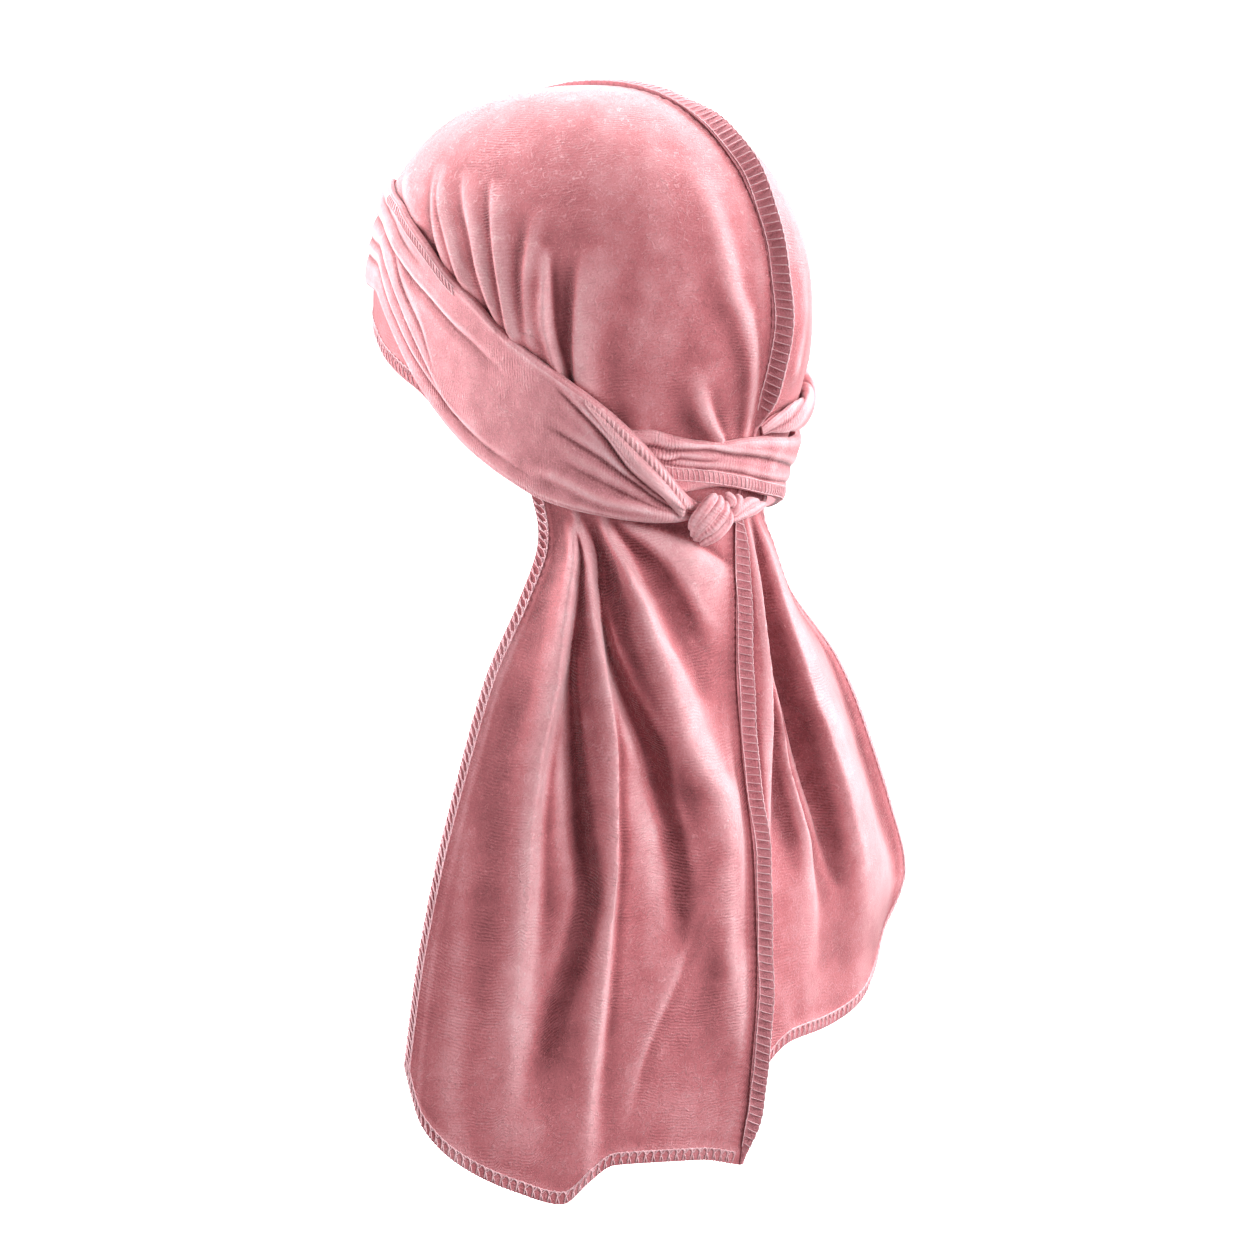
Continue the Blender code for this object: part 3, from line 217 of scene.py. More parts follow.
class Skin:
    """Vertices, faces, cloth coordinates and weights gathered for one mesh."""

    def __init__(self) -> None:
        """Starts with nothing in it."""
        self.points: list[Array] = []
        self.cloth: list[Array] = []
        # The crest weight carries painted shade and highlight; the fibre weight carries pale fibre marks, raised as a
        # painted highlight on the top of the cap.
        self.weights: dict[str, list[Array]] = {"crest": [], "ribs": [], "plush": []}
        self.faces: list[Array] = []
        self.count = 0

    def grid(self, points: Array, cloth: Array | None = None, **weights: Array) -> Array:
        """Adds points on a grid.

        Args:
            points: positions, with a last axis of three.
            cloth: metres along the ribs and across them, with a last axis of two.
            weights: crest, ribs and plush, each spread over the grid.

        Returns:
            The numbers of the points, in the same grid.
        """
        shape = points.shape[:-1]
        size = int(np.prod(shape))
        self.points.append(points.reshape(-1, 3))
        flat = np.zeros((*shape, 2)) if cloth is None else np.broadcast_to(cloth, (*shape, 2))
        self.cloth.append(flat.reshape(-1, 2))
        for name, kept in self.weights.items():
            kept.append(np.broadcast_to(weights.get(name, 0.0), shape).reshape(-1))
        self.count += size
        return np.arange(self.count - size, self.count).reshape(shape)

    def cover(self, index: Array, wrapped: bool = False, turned: bool = False) -> None:
        """Lays a face over each cell of a grid, round its second axis too if wrapped, the other way up if turned."""
        if wrapped:
            index = np.concatenate([index, index[..., :1]], axis=-1)
        corners = [index[..., :-1, :-1], index[..., 1:, :-1], index[..., 1:, 1:], index[..., :-1, 1:]]
        quads = np.stack(corners, axis=-1).reshape(-1, 4)
        self.faces.append(quads[:, ::-1] if turned else quads)

    def join(self, upper: Array, lower: Array) -> None:
        """Lays faces between two lines of points."""
        self.faces.append(np.stack([upper[1:], upper[:-1], lower[:-1], lower[1:]], axis=-1))

    def cap(self, rings: Array, turned: bool = False) -> None:
        """Closes rings of points with fans of triangles from their first point."""
        rings = rings.reshape(-1, rings.shape[-1])
        around = rings.shape[-1]
        first = np.repeat(rings[:, :1], around - 2, axis=1)
        fans = np.stack([first, rings[:, 1:-1], rings[:, 2:], rings[:, 2:]], axis=-1).reshape(-1, 4)
        self.faces.append(fans[:, ::-1] if turned else fans)

    def sheet(self, outer: Array, inner: Array, cloth: Array, pole: bool = False, **weights: Array) -> None:
        """Adds a cloth wall: its outer and inner faces, and a strip along each of its four borders.

        Args:
            outer: points of the outer face.
            inner: points of the inner face.
            cloth: coordinates on the cloth.
            pole: whether the first row is one point.
            weights: crest, ribs and plush.
        """
        over, under = self.grid(outer, cloth, **weights), self.grid(inner, cloth, **weights)
        if pole:
            over[0], under[0] = over[0, 0], under[0, 0]
        self.cover(over)
        self.cover(under, turned=True)
        self.join(over[:, 0], under[:, 0])
        self.join(over[-1], under[-1])
        self.join(over[::-1, -1], under[::-1, -1])
        if not pole:
            self.join(over[0, ::-1], under[0, ::-1])

    def tube(self, rings: Array, cloth: Array | None = None, **weights: Array) -> None:
        """Adds a closed tube through rings of points, with a cap at each end; more axes before those give more tubes."""
        index = self.grid(rings, cloth, **weights)
        self.cover(index, wrapped=True)
        self.cap(index[..., 0, :])
        self.cap(index[..., -1, :], turned=True)

    def build(self, name: str, material: bpy.types.Material) -> bpy.types.Object:
        """Makes the object, with its faces outwards and its triangles where corners fall together.

        Args:
            name: the piece's name.
            material: its finish.

        Returns:
            The object, at the origin.
        """
        points, cloth = np.concatenate(self.points), np.concatenate(self.cloth)
        quads = np.concatenate(self.faces)
        used, quads = np.unique(quads, return_inverse=True)
        quads = quads.reshape(-1, 4)
        points, cloth = points[used], cloth[used]
        same = quads == np.roll(quads, -1, axis=1)
        order = np.argmax(same, axis=1)[:, None]
        turned = np.take_along_axis(quads, (order + 1 + np.arange(4)) % 4, axis=1)
        tris, whole = turned[same.sum(axis=1) == 1][:, :3], quads[~same.any(axis=1)]
        fans = np.concatenate([whole[:, [0, 1, 2]], whole[:, [0, 2, 3]], tris])
        corner = points[fans]
        volume = np.einsum("ij,ij->i", corner[:, 0], np.cross(corner[:, 1], corner[:, 2])).sum()
        if volume < 0:
            whole, tris = whole[:, ::-1], tris[:, ::-1]
        mesh = bpy.data.meshes.new(name)
        mesh.vertices.add(len(points))
        mesh.vertices.foreach_set("co", points.astype(np.float32).ravel())
        corners = np.concatenate([whole.ravel(), tris.ravel()]).astype(np.int32)
        starts = np.concatenate([np.arange(len(whole)) * 4, 4 * len(whole) + np.arange(len(tris)) * 3])
        mesh.loops.add(len(corners))
        mesh.loops.foreach_set("vertex_index", corners)
        mesh.polygons.add(len(starts))
        mesh.polygons.foreach_set("loop_start", starts.astype(np.int32))
        layer = mesh.uv_layers.new(name="cloth")
        layer.data.foreach_set("uv", cloth[corners].astype(np.float32).ravel())
        for label, kept in self.weights.items():
            values = np.concatenate(kept)[used].astype(np.float32)
            mesh.attributes.new(label, "FLOAT", "POINT").data.foreach_set("value", values)
        mesh.materials.append(material)
        mesh.update(calc_edges=True)
        mesh.validate()
        mesh.shade_smooth()
        mesh.set_sharp_from_angle(angle=math.radians(60))
        built = bpy.data.objects.new(name, mesh)
        bpy.context.scene.collection.objects.link(built)
        return built


def settle(piece: bpy.types.Object, slot: str, *nodes: str) -> bpy.types.Object:
    """Lets a piece ride on the durag, hides the solids that it stands for, and reports it.

    Args:
        piece: the finished mesh.
        slot: the record's material slot; not used.
        nodes: names of the solids that it replaces.

    Returns:
        The piece.
    """
    if nodes:
        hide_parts(*nodes)
    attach(piece, BODY)
    triangles = sum(len(face.vertices) - 2 for face in piece.data.polygons)
    area = sum(face.area for face in piece.data.polygons) / 2
    LOG.info("%s: %d triangles, %.4f square metres on each face", piece.name, triangles, area)
    return piece


class Held(Enum):
    """Ways in which a piece of cloth is held."""

    STRETCHED = "stretched"
    GATHERED = "gathered"
    FOLDED = "folded"


@dataclass(frozen=True)
class Cut:
    """Flat cut of a piece of cloth: width and length in metres and area in square metres."""

    width: float
    length: float
    area: float
    held: Held

    def declare(self, piece: bpy.types.Object, *rests_on: str) -> bpy.types.Object:
        """Returns the piece as it is."""
        return piece


def turning(points: Array, out: Array, reach: int) -> Array:
    """How sharply a grid of points turns about each one: above zero on a crest, below zero in a valley.

    Args:
        points: grid of points.
        out: outward directions at them.
        reach: how many cells away the neighbours are.

    Returns:
        Less the outward part of the sum of the directions to the neighbours on both sides, added over both axes.
    """
    total = np.zeros(points.shape[:-1])
    for axis in (0, 1):
        size = points.shape[axis]
        place = np.arange(size)
        ahead = np.take(points, np.minimum(place + reach, size - 1), axis=axis) - points
        behind = np.take(points, np.maximum(place - reach, 0), axis=axis) - points
        inside = (place >= reach) & (place < size - reach)
        bend = np.sum((unit(ahead) + unit(behind)) * out, axis=-1)
        total -= bend * (inside[:, None] if axis == 0 else inside[None, :])
    return total


def crests(points: Array, away: Array, strengths: dict[int, float]) -> Array:
    """Crests and valleys of a grid of points at several sizes.

    Args:
        points: grid of points.
        away: directions that point roughly outwards.
        strengths: weight of the turning at each reach in cells.

    Returns:
        From -1 in a deep valley to 1 on a sharp crest.
    """
    out = facing(points, away)
    total = sum(strength * turning(points, out, reach) for reach, strength in strengths.items())
    return np.clip(total - np.median(total), -1, 1)


def facing(points: Array, away: Array) -> Array:
    """Normals of a grid of points, turned to the side that the given directions point to."""
    normal = unit(np.cross(np.gradient(points, axis=0), np.gradient(points, axis=1)))
    return normal * np.where(np.sum(normal * away, axis=-1, keepdims=True) < 0, -1.0, 1.0)


def calmed(grid: Array, reach: int) -> Array:
    """Mean of a grid over the cells up to a reach away, by differences of running totals along both axes."""
    for axis in (0, 1):
        size = grid.shape[axis]
        before, after = (np.repeat(grid.take([end], axis), reach, axis) for end in (0, -1))
        total = np.cumsum(np.concatenate([before, grid, after], axis), axis)
        grid = (total.take(np.arange(size) + 2 * reach - 1, axis) - total.take(np.arange(size), axis)) / (2 * reach - 1)
    return grid


def painted_side_light(points: Array, away: Array, reach: int) -> Array:
    """How far the folds of a grid face the direction of the painted light, less the same for the grid smoothed over a
    reach: painted light on the sides that face it and painted shade on the others.
    """
    normal = facing(points, away)
    return np.sum((normal - calmed(normal, reach)) * np.array(PAINTED_LIGHT_DIRECTION), axis=-1)


def pick(grid: Array, i: Array, j: Array) -> Array:
    """Value between the points of a grid, by bilinear interpolation at fractional row i and column j."""
    i, j = np.clip(i, 0, grid.shape[0] - 1.001), np.clip(j, 0, grid.shape[1] - 1.001)
    row, column = i.astype(int), j.astype(int)
    a, b = (i - row)[..., None], (j - column)[..., None]
    upper = grid[row, column] * (1 - b) + grid[row, column + 1] * b
    lower = grid[row + 1, column] * (1 - b) + grid[row + 1, column + 1] * b
    return upper * (1 - a) + lower * a


# Tables shared with the construction of the durag

RIM_LEFT = Table(
    ("azimuth", "z"),
    (
        (0, -88.0), (25, -92.0), (40, -99.0), (50, -107.0), (60, -113.5), (69, -119.0), (76, -125.5),
        (90, -138.0),
        (105, -149.0), (120, -157.0), (145, -160.0), (165, -154.0), (180, -147.0),
    ),
)
RIM_RIGHT = Table(
    ("azimuth", "z"),
    (
        (0, -88.0), (25, -92.0), (50, -102.5), (75, -125.5), (90, -137.0),
        (110, -148.0), (130, -152.0), (150, -152.0), (180, -147.0),
    ),
)

# Gather folds of the cap, from the ties upwards. Widths are degrees towards the forehead and towards the nape
FOLD = ("z", "azimuth", "height", "front", "back")
FOLDS_LEFT = (
    Table(FOLD, ((-57, 69.5, 0.0, 1.8, 4.0), (-53, 65.4, 1.0, 1.2, 4.0), (-43, 53.7, 0.8, 1.4, 4.0), (-34, 45, 0.0, 2.0, 4.0))),
    Table(
        FOLD,
        ((-76, 88, 2.4, 1.2, 4.4), (-70, 84.8, 2.4, 1.2, 4.4), (-59, 78.9, 2.0, 1.2, 4.6), (-44, 72.4, 1.3, 1.6, 4.4), (-30, 67, 0.0, 2.4, 4.0)),
    ),
    Table(
        FOLD,
        ((-85, 96.8, 3.2, 1.2, 5.0), (-77, 92.9, 3.2, 1.2, 5.2), (-59, 84.3, 2.6, 1.2, 5.4), (-46, 77.4, 1.7, 1.6, 5.4), (-31, 71, 0.0, 2.4, 5.0)),
    ),
    Table(
        FOLD,
        ((-96, 107.8, 3.6, 1.2, 5.6), (-75, 100.1, 3.6, 1.2, 5.8), (-59, 94.7, 2.8, 1.2, 6.0), (-48, 89.5, 1.8, 1.6, 6.0), (-33, 83, 0.0, 2.6, 6.0)),
    ),
    Table(
        FOLD,
        ((-103, 112.6, 3.8, 1.1, 5.0), (-84, 108.8, 3.9, 1.1, 5.4), (-66, 105.0, 3.4, 1.1, 6.0), (-50, 101.4, 2.4, 1.4, 6.4), (-37, 98, 0.0, 2.4, 6.0)),
    ),
    Table(
        FOLD,
        ((-110, 119.4, 1.6, 2.6, 2.6), (-95, 116.8, 2.6, 2.2, 3.2), (-74, 115.4, 2.8, 2.2, 3.4), (-60, 115.8, 1.4, 2.6, 3.6), (-47, 117, 0.0, 3.4, 4.0)),
    ),
    Table(
        FOLD,
        ((-116, 125.6, 4.0, 3.6, 0.9), (-110, 124.7, 4.2, 3.6, 0.9), (-92, 121.6, 4.0, 3.4, 0.9), (-74, 120.8, 2.2, 3.0, 1.1), (-62, 120, 0.0, 3.0, 2.0)),
    ),
    Table(FOLD, ((-118, 129.6, 3.4, 1.1, 6.0), (-103, 129.2, 3.4, 1.3, 6.0), (-79, 130.4, 2.0, 2.4, 6.0), (-62, 132, 0.0, 3.0, 6.0))),
    Table(FOLD, ((-136, 168.6, 3.2, 4.4, 1.0), (-131, 165.6, 3.0, 4.4, 1.3), (-121, 161.5, 1.8, 4.0, 2.4), (-106, 158, 0.0, 4.0, 4.0))),
    Table(
        FOLD,
        (
            (-138, 177.0, 1.6, 1.6, 1.6), (-120, 176.0, 2.2, 2.6, 2.0), (-105.5, 174.2, 2.4, 3.4, 2.2),
            (-90, 170.5, 2.4, 4.0, 3.0),
            (-75.6, 167.0, 2.2, 4.4, 3.2), (-46, 165.3, 1.0, 4.6, 4.0), (-28, 164, 0.0, 5.0, 5.0),
        ),
    ),
    Table(FOLD, ((-125, 146.0, 0.9, 5.0, 5.0), (-100, 144.0, 0.8, 6.0, 6.0), (-70, 146.0, 0.0, 6.0, 6.0))),
)
FOLDS_RIGHT = (
    Table(FOLD, ((-82, 93, 2.4, 3.4, 1.6), (-66, 85, 2.2, 3.6, 1.6), (-50, 80, 1.4, 3.8, 2.2), (-34, 74, 0.0, 4.0, 3.0))),
    Table(FOLD, ((-92, 101, 2.2, 3.6, 1.5), (-74, 94, 2.0, 3.6, 1.6), (-56, 90, 1.2, 3.8, 2.2), (-38, 86, 0.0, 4.0, 3.0))),
    Table(FOLD, ((-100, 109, 2.8, 3.8, 1.5), (-80, 104, 2.6, 4.0, 1.6), (-60, 98, 1.6, 4.2, 2.2), (-40, 94, 0.0, 4.0, 3.0))),
    Table(FOLD, ((-109, 120, 2.8, 4.0, 1.4), (-92, 117, 2.6, 4.0, 1.5), (-72, 113, 1.6, 4.0, 2.2), (-52, 110, 0.0, 4.0, 3.0))),
    Table(FOLD, ((-119, 132, 2.4, 3.6, 1.8), (-100, 130, 2.2, 3.6, 2.0), (-80, 128, 1.2, 4.0, 2.6), (-60, 127, 0.0, 4.0, 3.0))),
    Table(FOLD, ((-126, 146, 1.6, 4.0, 3.0), (-105, 145, 1.2, 4.0, 4.0), (-80, 146, 0.0, 5.0, 5.0))),
    Table(FOLD, ((-134, 171, 1.6, 2.6, 2.0), (-112, 168, 1.4, 3.0, 2.4), (-84, 166, 1.0, 3.4, 3.0), (-56, 165, 0.0, 4.0, 4.0))),
)

CAPE = ("level", "seam_y", "edge_x", "edge_y", "bulge")
CAPE_LEFT = Table(
    CAPE,
    (
        (-432, 79.0, 124.0, 14.0, 9.0),
        (-397, 84.9, 123.0, 14.0, 9.0),
        (-350, 88.8, 117.5, 15.0, 9.5),
        (-303, 87.0, 108.5, 18.0, 10.5),
        (-259, 80.8, 95.5, 21.0, 12.0),
        (-229, 77.8, 85.0, 23.0, 13.0),
        (-199, 77.2, 68.0, 25.0, 14.0),
        (-180, 77.0, 59.0, 26.0, 14.5),
        (-165, 77.2, 56.6, 27.0, 15.0),
    ),
)
CAPE_RIGHT = Table(
    CAPE,
    (
        (-432, 79.0, 106.0, 64.0, 8.0),
        (-397, 84.9, 108.0, 62.0, 8.0),
        (-350, 88.8, 111.0, 62.0, 8.0),
        (-322, 88.5, 113.8, 66.0, 8.0),
        (-291, 85.5, 102.6, 66.0, 8.0),
        (-259, 80.8, 88.6, 66.0, 8.0),
        (-229, 77.8, 71.8, 66.0, 7.0),
        (-199, 77.2, 42.8, 68.0, 5.0),
        (-165, 77.2, 24.0, 70.0, 2.0),
    ),
)
HEM_LEFT = Table(
    ("across", "z"),
    (
        (0, -424.6), (0.14, -420.0), (0.40, -418.5), (0.475, -424.0), (0.55, -432.0),
        (0.685, -426.0), (0.83, -415.5), (0.94, -400.0), (1, -376.0),
    ),
)
HEM_RIGHT = Table(
    ("across", "z"),
    (
        (0, -424.6), (0.04, -404.0), (0.09, -384.0), (0.21, -377.0), (0.47, -375.0),
        (0.7, -368.0), (0.85, -356.0), (0.95, -340.0), (1, -320.0),
    ),
)

# Pleats of the cape: place from seam (0) to edge (1), height, and width on the seam side and on the edge side
PLEAT = ("level", "across", "height", "seam_width", "edge_width")
PLEATS_LEFT = (
    # Roll along the outer edge, ending sharply on its seam side
    Table(
        PLEAT,
        (
            (-430, 0.7, 0.8, 0.1, 0.14),
            (-390, 0.715, 2.4, 0.08, 0.14),
            (-365, 0.726, 3.6, 0.06, 0.13),
            (-334, 0.72, 5.4, 0.045, 0.13),
            (-311, 0.725, 6.8, 0.034, 0.13),
            (-281, 0.743, 8.2, 0.026, 0.12),
            (-258, 0.749, 9.2, 0.022, 0.12),
            (-243, 0.741, 9.5, 0.02, 0.12),
            (-228, 0.736, 9.3, 0.02, 0.12),
            (-213, 0.753, 8.5, 0.02, 0.11),
            (-199, 0.77, 7.6, 0.018, 0.1),
            (-184, 0.795, 5.8, 0.018, 0.08),
            (-174, 0.8, 3.4, 0.02, 0.07),
            (-167, 0.8, 1.0, 0.03, 0.07),
            (-160, 0.8, 0.0, 0.04, 0.07),
        ),
    ),
    # Valley between the outer roll and the middle fold
    Table(
        PLEAT,
        (
            (-400, 0.68, 0.0, 0.06, 0.05),
            (-376, 0.645, -1.2, 0.05, 0.05),
            (-354, 0.605, -2.2, 0.04, 0.045),
            (-340, 0.577, -3.0, 0.035, 0.045),
            (-312, 0.546, -4.5, 0.024, 0.05),
            (-286, 0.583, -6.0, 0.018, 0.05),
            (-262, 0.621, -6.5, 0.016, 0.05),
            (-237, 0.672, -5.0, 0.014, 0.035),
            (-217, 0.724, -3.4, 0.014, 0.02),
            (-200, 0.758, -2.4, 0.012, 0.014),
            (-184, 0.78, -1.4, 0.012, 0.012),
            (-170, 0.79, 0.0, 0.014, 0.014),
        ),
    ),
    # Middle fold, ending sharply on its seam side
    Table(
        PLEAT,
        (
            (-430, 0.5, 1.2, 0.05, 0.12),
            (-390, 0.492, 3.0, 0.03, 0.11),
            (-362, 0.484, 5.0, 0.022, 0.1),
            (-330, 0.478, 7.5, 0.018, 0.1),
            (-307, 0.476, 9.5, 0.016, 0.1),
            (-274, 0.494, 11.5, 0.015, 0.11),
            (-257, 0.51, 11.8, 0.015, 0.11),
            (-238, 0.544, 11.0, 0.015, 0.1),
            (-220, 0.596, 9.0, 0.016, 0.085),
            (-198, 0.68, 7.2, 0.016, 0.055),
            (-184, 0.735, 5.2, 0.016, 0.035),
            (-174, 0.76, 2.8, 0.018, 0.025),
            (-167, 0.77, 0.8, 0.02, 0.02),
            (-160, 0.78, 0.0, 0.03, 0.03),
        ),
    ),
    # Deep valley beside the middle fold
    Table(
        PLEAT,
        (
            (-345, 0.255, 0.0, 0.05, 0.06),
            (-330, 0.252, -1.2, 0.045, 0.06),
            (-315, 0.255, -2.2, 0.04, 0.06),
            (-292, 0.28, -3.8, 0.03, 0.06),
            (-276, 0.315, -5.2, 0.024, 0.065),
            (-263, 0.343, -6.2, 0.02, 0.06),
            (-246, 0.415, -7.0, 0.018, 0.05),
            (-230, 0.498, -6.5, 0.016, 0.035),
            (-212, 0.598, -5.0, 0.014, 0.02),
            (-201, 0.655, -3.6, 0.014, 0.016),
            (-186, 0.70, -2.2, 0.014, 0.014),
            (-172, 0.72, 0.0, 0.014, 0.014),
        ),
    ),
    # Long diagonal fold that comes up to the seam
    Table(
        PLEAT,
        (
            (-330, 0.1, 0.0, 0.1, 0.12),
            (-305, 0.105, 3.0, 0.1, 0.12),
            (-278, 0.125, 7.5, 0.09, 0.13),
            (-265, 0.2, 9.5, 0.11, 0.13),
            (-252, 0.268, 11.5, 0.12, 0.13),
            (-239, 0.307, 12.0, 0.11, 0.12),
            (-223, 0.369, 12.0, 0.085, 0.115),
            (-210, 0.43, 10.5, 0.06, 0.1),
            (-200, 0.474, 9.0, 0.045, 0.09),
            (-191, 0.536, 8.6, 0.034, 0.07),
            (-181, 0.588, 6.8, 0.028, 0.055),
            (-174, 0.62, 4.2, 0.026, 0.045),
            (-167, 0.64, 1.2, 0.03, 0.05),
            (-160, 0.65, 0.0, 0.04, 0.05),
        ),
    ),
    # Low wave between the middle fold and the seam
    Table(
        PLEAT,
        (
            (-410, 0.4, 0.0, 0.02, 0.1),
            (-394, 0.375, 0.4, 0.016, 0.1),
            (-378, 0.352, 0.7, 0.014, 0.1),
            (-361, 0.31, 0.8, 0.014, 0.09),
            (-348, 0.27, 0.6, 0.016, 0.08),
            (-330, 0.225, 0.4, 0.02, 0.08),
            (-312, 0.2, 0.0, 0.03, 0.08),
        ),
    ),
    # Swelling beside the seam lower down
    Table(
        PLEAT,
        (
            (-385, 0.06, 0.0, 0.05, 0.08),
            (-360, 0.07, 2.4, 0.05, 0.07),
            (-340, 0.085, 3.0, 0.05, 0.06),
            (-318, 0.1, 1.6, 0.05, 0.07),
            (-300, 0.1, 0.0, 0.05, 0.07),
        ),
    ),
    # Edge of the cape, turned a little forwards
    Table(
        PLEAT,
        (
            (-430, 0.88, 0.4, 0.05, 0.08),
            (-400, 0.88, 1.0, 0.05, 0.08),
            (-363, 0.89, 1.3, 0.05, 0.08),
            (-307, 0.93, 1.0, 0.05, 0.08),
            (-280, 0.95, 0.0, 0.05, 0.08),
        ),
    ),
)
# Pouch of loose cloth between the ties and the crease that runs from them to the seam
POUCH = ("across", "upper", "lower", "height")
POUCH_LEFT = Table(
    POUCH,
    (
        (0.0, -186.0, -226.5, 0.0),
        (0.05, -184.8, -225.2, 1.3),
        (0.10, -182.8, -223.3, 2.6),
        (0.15, -180.6, -220.0, 3.9),
        (0.20, -178.2, -215.4, 5.0),
        (0.26, -175.5, -209.0, 5.8),
        (0.348, -172.5, -199.5, 5.5),
        (0.445, -170.0, -189.5, 4.6),
        (0.508, -168.5, -183.0, 3.6),
        (0.555, -167.5, -178.0, 2.6),
        (0.63, -166.0, -171.0, 0.0),
    ),
)
PLEATS_RIGHT = (
    # Roll beside the seam
    Table(
        PLEAT,
        (
            (-320, 0.05, 0.0, 0.06, 0.03),
            (-300, 0.055, 1.6, 0.08, 0.028),
            (-286, 0.072, 3.0, 0.09, 0.026),
            (-262, 0.115, 4.8, 0.1, 0.024),
            (-248, 0.143, 5.6, 0.1, 0.022),
            (-231, 0.17, 5.8, 0.1, 0.022),
            (-213, 0.192, 5.4, 0.1, 0.024),
            (-196, 0.22, 4.4, 0.11, 0.03),
            (-181, 0.235, 2.4, 0.12, 0.04),
            (-168, 0.24, 0.5, 0.12, 0.06),
            (-160, 0.24, 0.0, 0.12, 0.06),
        ),
    ),
    # Second roll, at the brink of the valley
    Table(
        PLEAT,
        (
            (-365, 0.3, 0.0, 0.16, 0.08),
            (-335, 0.275, 2.0, 0.12, 0.06),
            (-310, 0.262, 4.0, 0.08, 0.035),
            (-298, 0.262, 5.2, 0.06, 0.028),
            (-289, 0.242, 5.8, 0.05, 0.026),
            (-276, 0.212, 6.2, 0.04, 0.024),
            (-264, 0.194, 6.2, 0.034, 0.022),
            (-247, 0.203, 5.4, 0.028, 0.022),
            (-233, 0.21, 3.4, 0.026, 0.022),
            (-222, 0.215, 0.0, 0.026, 0.022),
        ),
    ),
    # Valley between the rolls
    Table(
        PLEAT,
        (
            (-320, 0.42, 0.0, 0.04, 0.04),
            (-303, 0.405, -2.0, 0.035, 0.03),
            (-291, 0.394, -3.5, 0.03, 0.028),
            (-276, 0.365, -4.5, 0.028, 0.028),
            (-260, 0.339, -5.0, 0.028, 0.028),
            (-244, 0.319, -5.0, 0.026, 0.026),
            (-229, 0.302, -4.8, 0.026, 0.026),
            (-213, 0.316, -4.0, 0.028, 0.028),
            (-197, 0.355, -3.0, 0.035, 0.03),
            (-178, 0.39, -1.0, 0.05, 0.04),
            (-166, 0.4, 0.0, 0.05, 0.04),
        ),
    ),
    # Broad outer roll, steep towards the valley
    Table(
        PLEAT,
        (
            (-400, 0.72, 1.5, 0.2, 0.26),
            (-350, 0.66, 4.5, 0.18, 0.28),
            (-322, 0.585, 8.0, 0.14, 0.3),
            (-310, 0.555, 9.5, 0.12, 0.3),
            (-297, 0.52, 11.0, 0.095, 0.3),
            (-283, 0.488, 12.2, 0.08, 0.3),
            (-271, 0.458, 12.8, 0.07, 0.3),
            (-254, 0.415, 12.8, 0.06, 0.32),
            (-239, 0.385, 11.5, 0.055, 0.34),
            (-221, 0.395, 9.0, 0.055, 0.34),
            (-200, 0.45, 6.0, 0.065, 0.34),
            (-180, 0.52, 3.0, 0.09, 0.32),
            (-166, 0.56, 0.6, 0.1, 0.3),
            (-158, 0.56, 0.0, 0.1, 0.3),
        ),
    ),
    # Outer edge turned outwards
    Table(
        PLEAT,
        (
            (-365, 1.0, 0.0, 0.05, 0.10),
            (-330, 1.0, 3.6, 0.055, 0.10),
            (-290, 1.0, 5.0, 0.06, 0.10),
            (-255, 1.0, 4.6, 0.065, 0.10),
            (-225, 1.0, 3.0, 0.08, 0.10),
            (-198, 1.0, 0.0, 0.09, 0.10),
        ),
    ),
)

# Seam allowance along the run of the seam from the top of the head
SEAM = Table(
    ("run", "height", "lean"),
    (
        (-150, 1.0, 0), (-42, 1.0, 0), (-32, 1.0, 10), (-20, 3.0, 60), (-5, 6.5, 74), (15, 8.0, 74),
        (40, 8.6, 68),
        (64, 8.8, 52), (90, 9.0, 30), (115, 9.0, 18), (160, 9.0, 10), (178, 8.0, 10), (190, 3.5, 5),
        (195, 1.0, 0),
        (214, 1.0, 0), (228, 3.0, 38), (244, 6.0, 34), (262, 7.2, 30), (462, 7.2, 28), (486, 2.0, 10),
    ),
)

# Ties as bands on the cap: top and bottom edge, lift of the inside off the head form, thickness of cloth
TIE = ("azimuth", "top", "bottom", "inner", "thick")
TIE_LEFT = Table(
    TIE,
    (
        (-46, -68, -92, 2.8, 1.6), (-30, -64, -91, 2.8, 2.2), (-24, -62, -90, 2.7, 2.0),
        (-17, -60, -89, 2.9, 2.2),
        (-5, -56.5, -86, 6.6, 2.4), (5, -43, -80, 6.4, 2.2), (16, -38.0, -80, 5.2, 2.4),
        (26, -36.5, -77, 3.4, 2.6),
        (35, -37.5, -78, 2.9, 2.6), (48, -42.5, -80.5, 2.8, 2.7), (57, -46.5, -92.0, 2.8, 2.8),
        (63, -51.0, -101.5, 2.9, 2.8), (69, -55.5, -111.5, 3.1, 2.8), (76, -61.3, -122.5, 3.3, 2.8),
        (88, -73.6, -137.8, 3.8, 2.8), (98.5, -83.3, -147.0, 4.0, 2.8),
        (107, -92.8, -152.8, 4.1, 3.0), (117.6, -103.0, -159.2, 4.2, 3.2), (128.6, -113.6, -162.8, 4.4, 3.4),
        (137.7, -123.1, -164.8, 4.8, 3.8), (145.3, -132.6, -166.2, 5.6, 4.2),
        (153.3, -145.0, -167.0, 6.2, 4.6),
        (158.6, -153.5, -166.8, 6.0, 4.4), (161.6, -157.5, -166.2, 5.6, 3.8),
        (164.2, -159.5, -165.4, 5.0, 2.6),
    ),
)
BACK_EDGE = Table(
    ("azimuth", "top"),
    ((140, -300), (149, -131.8), (155, -134.0), (161.8, -136.0), (168.9, -136.6), (174, -135.6), (180, -135.0)),
)
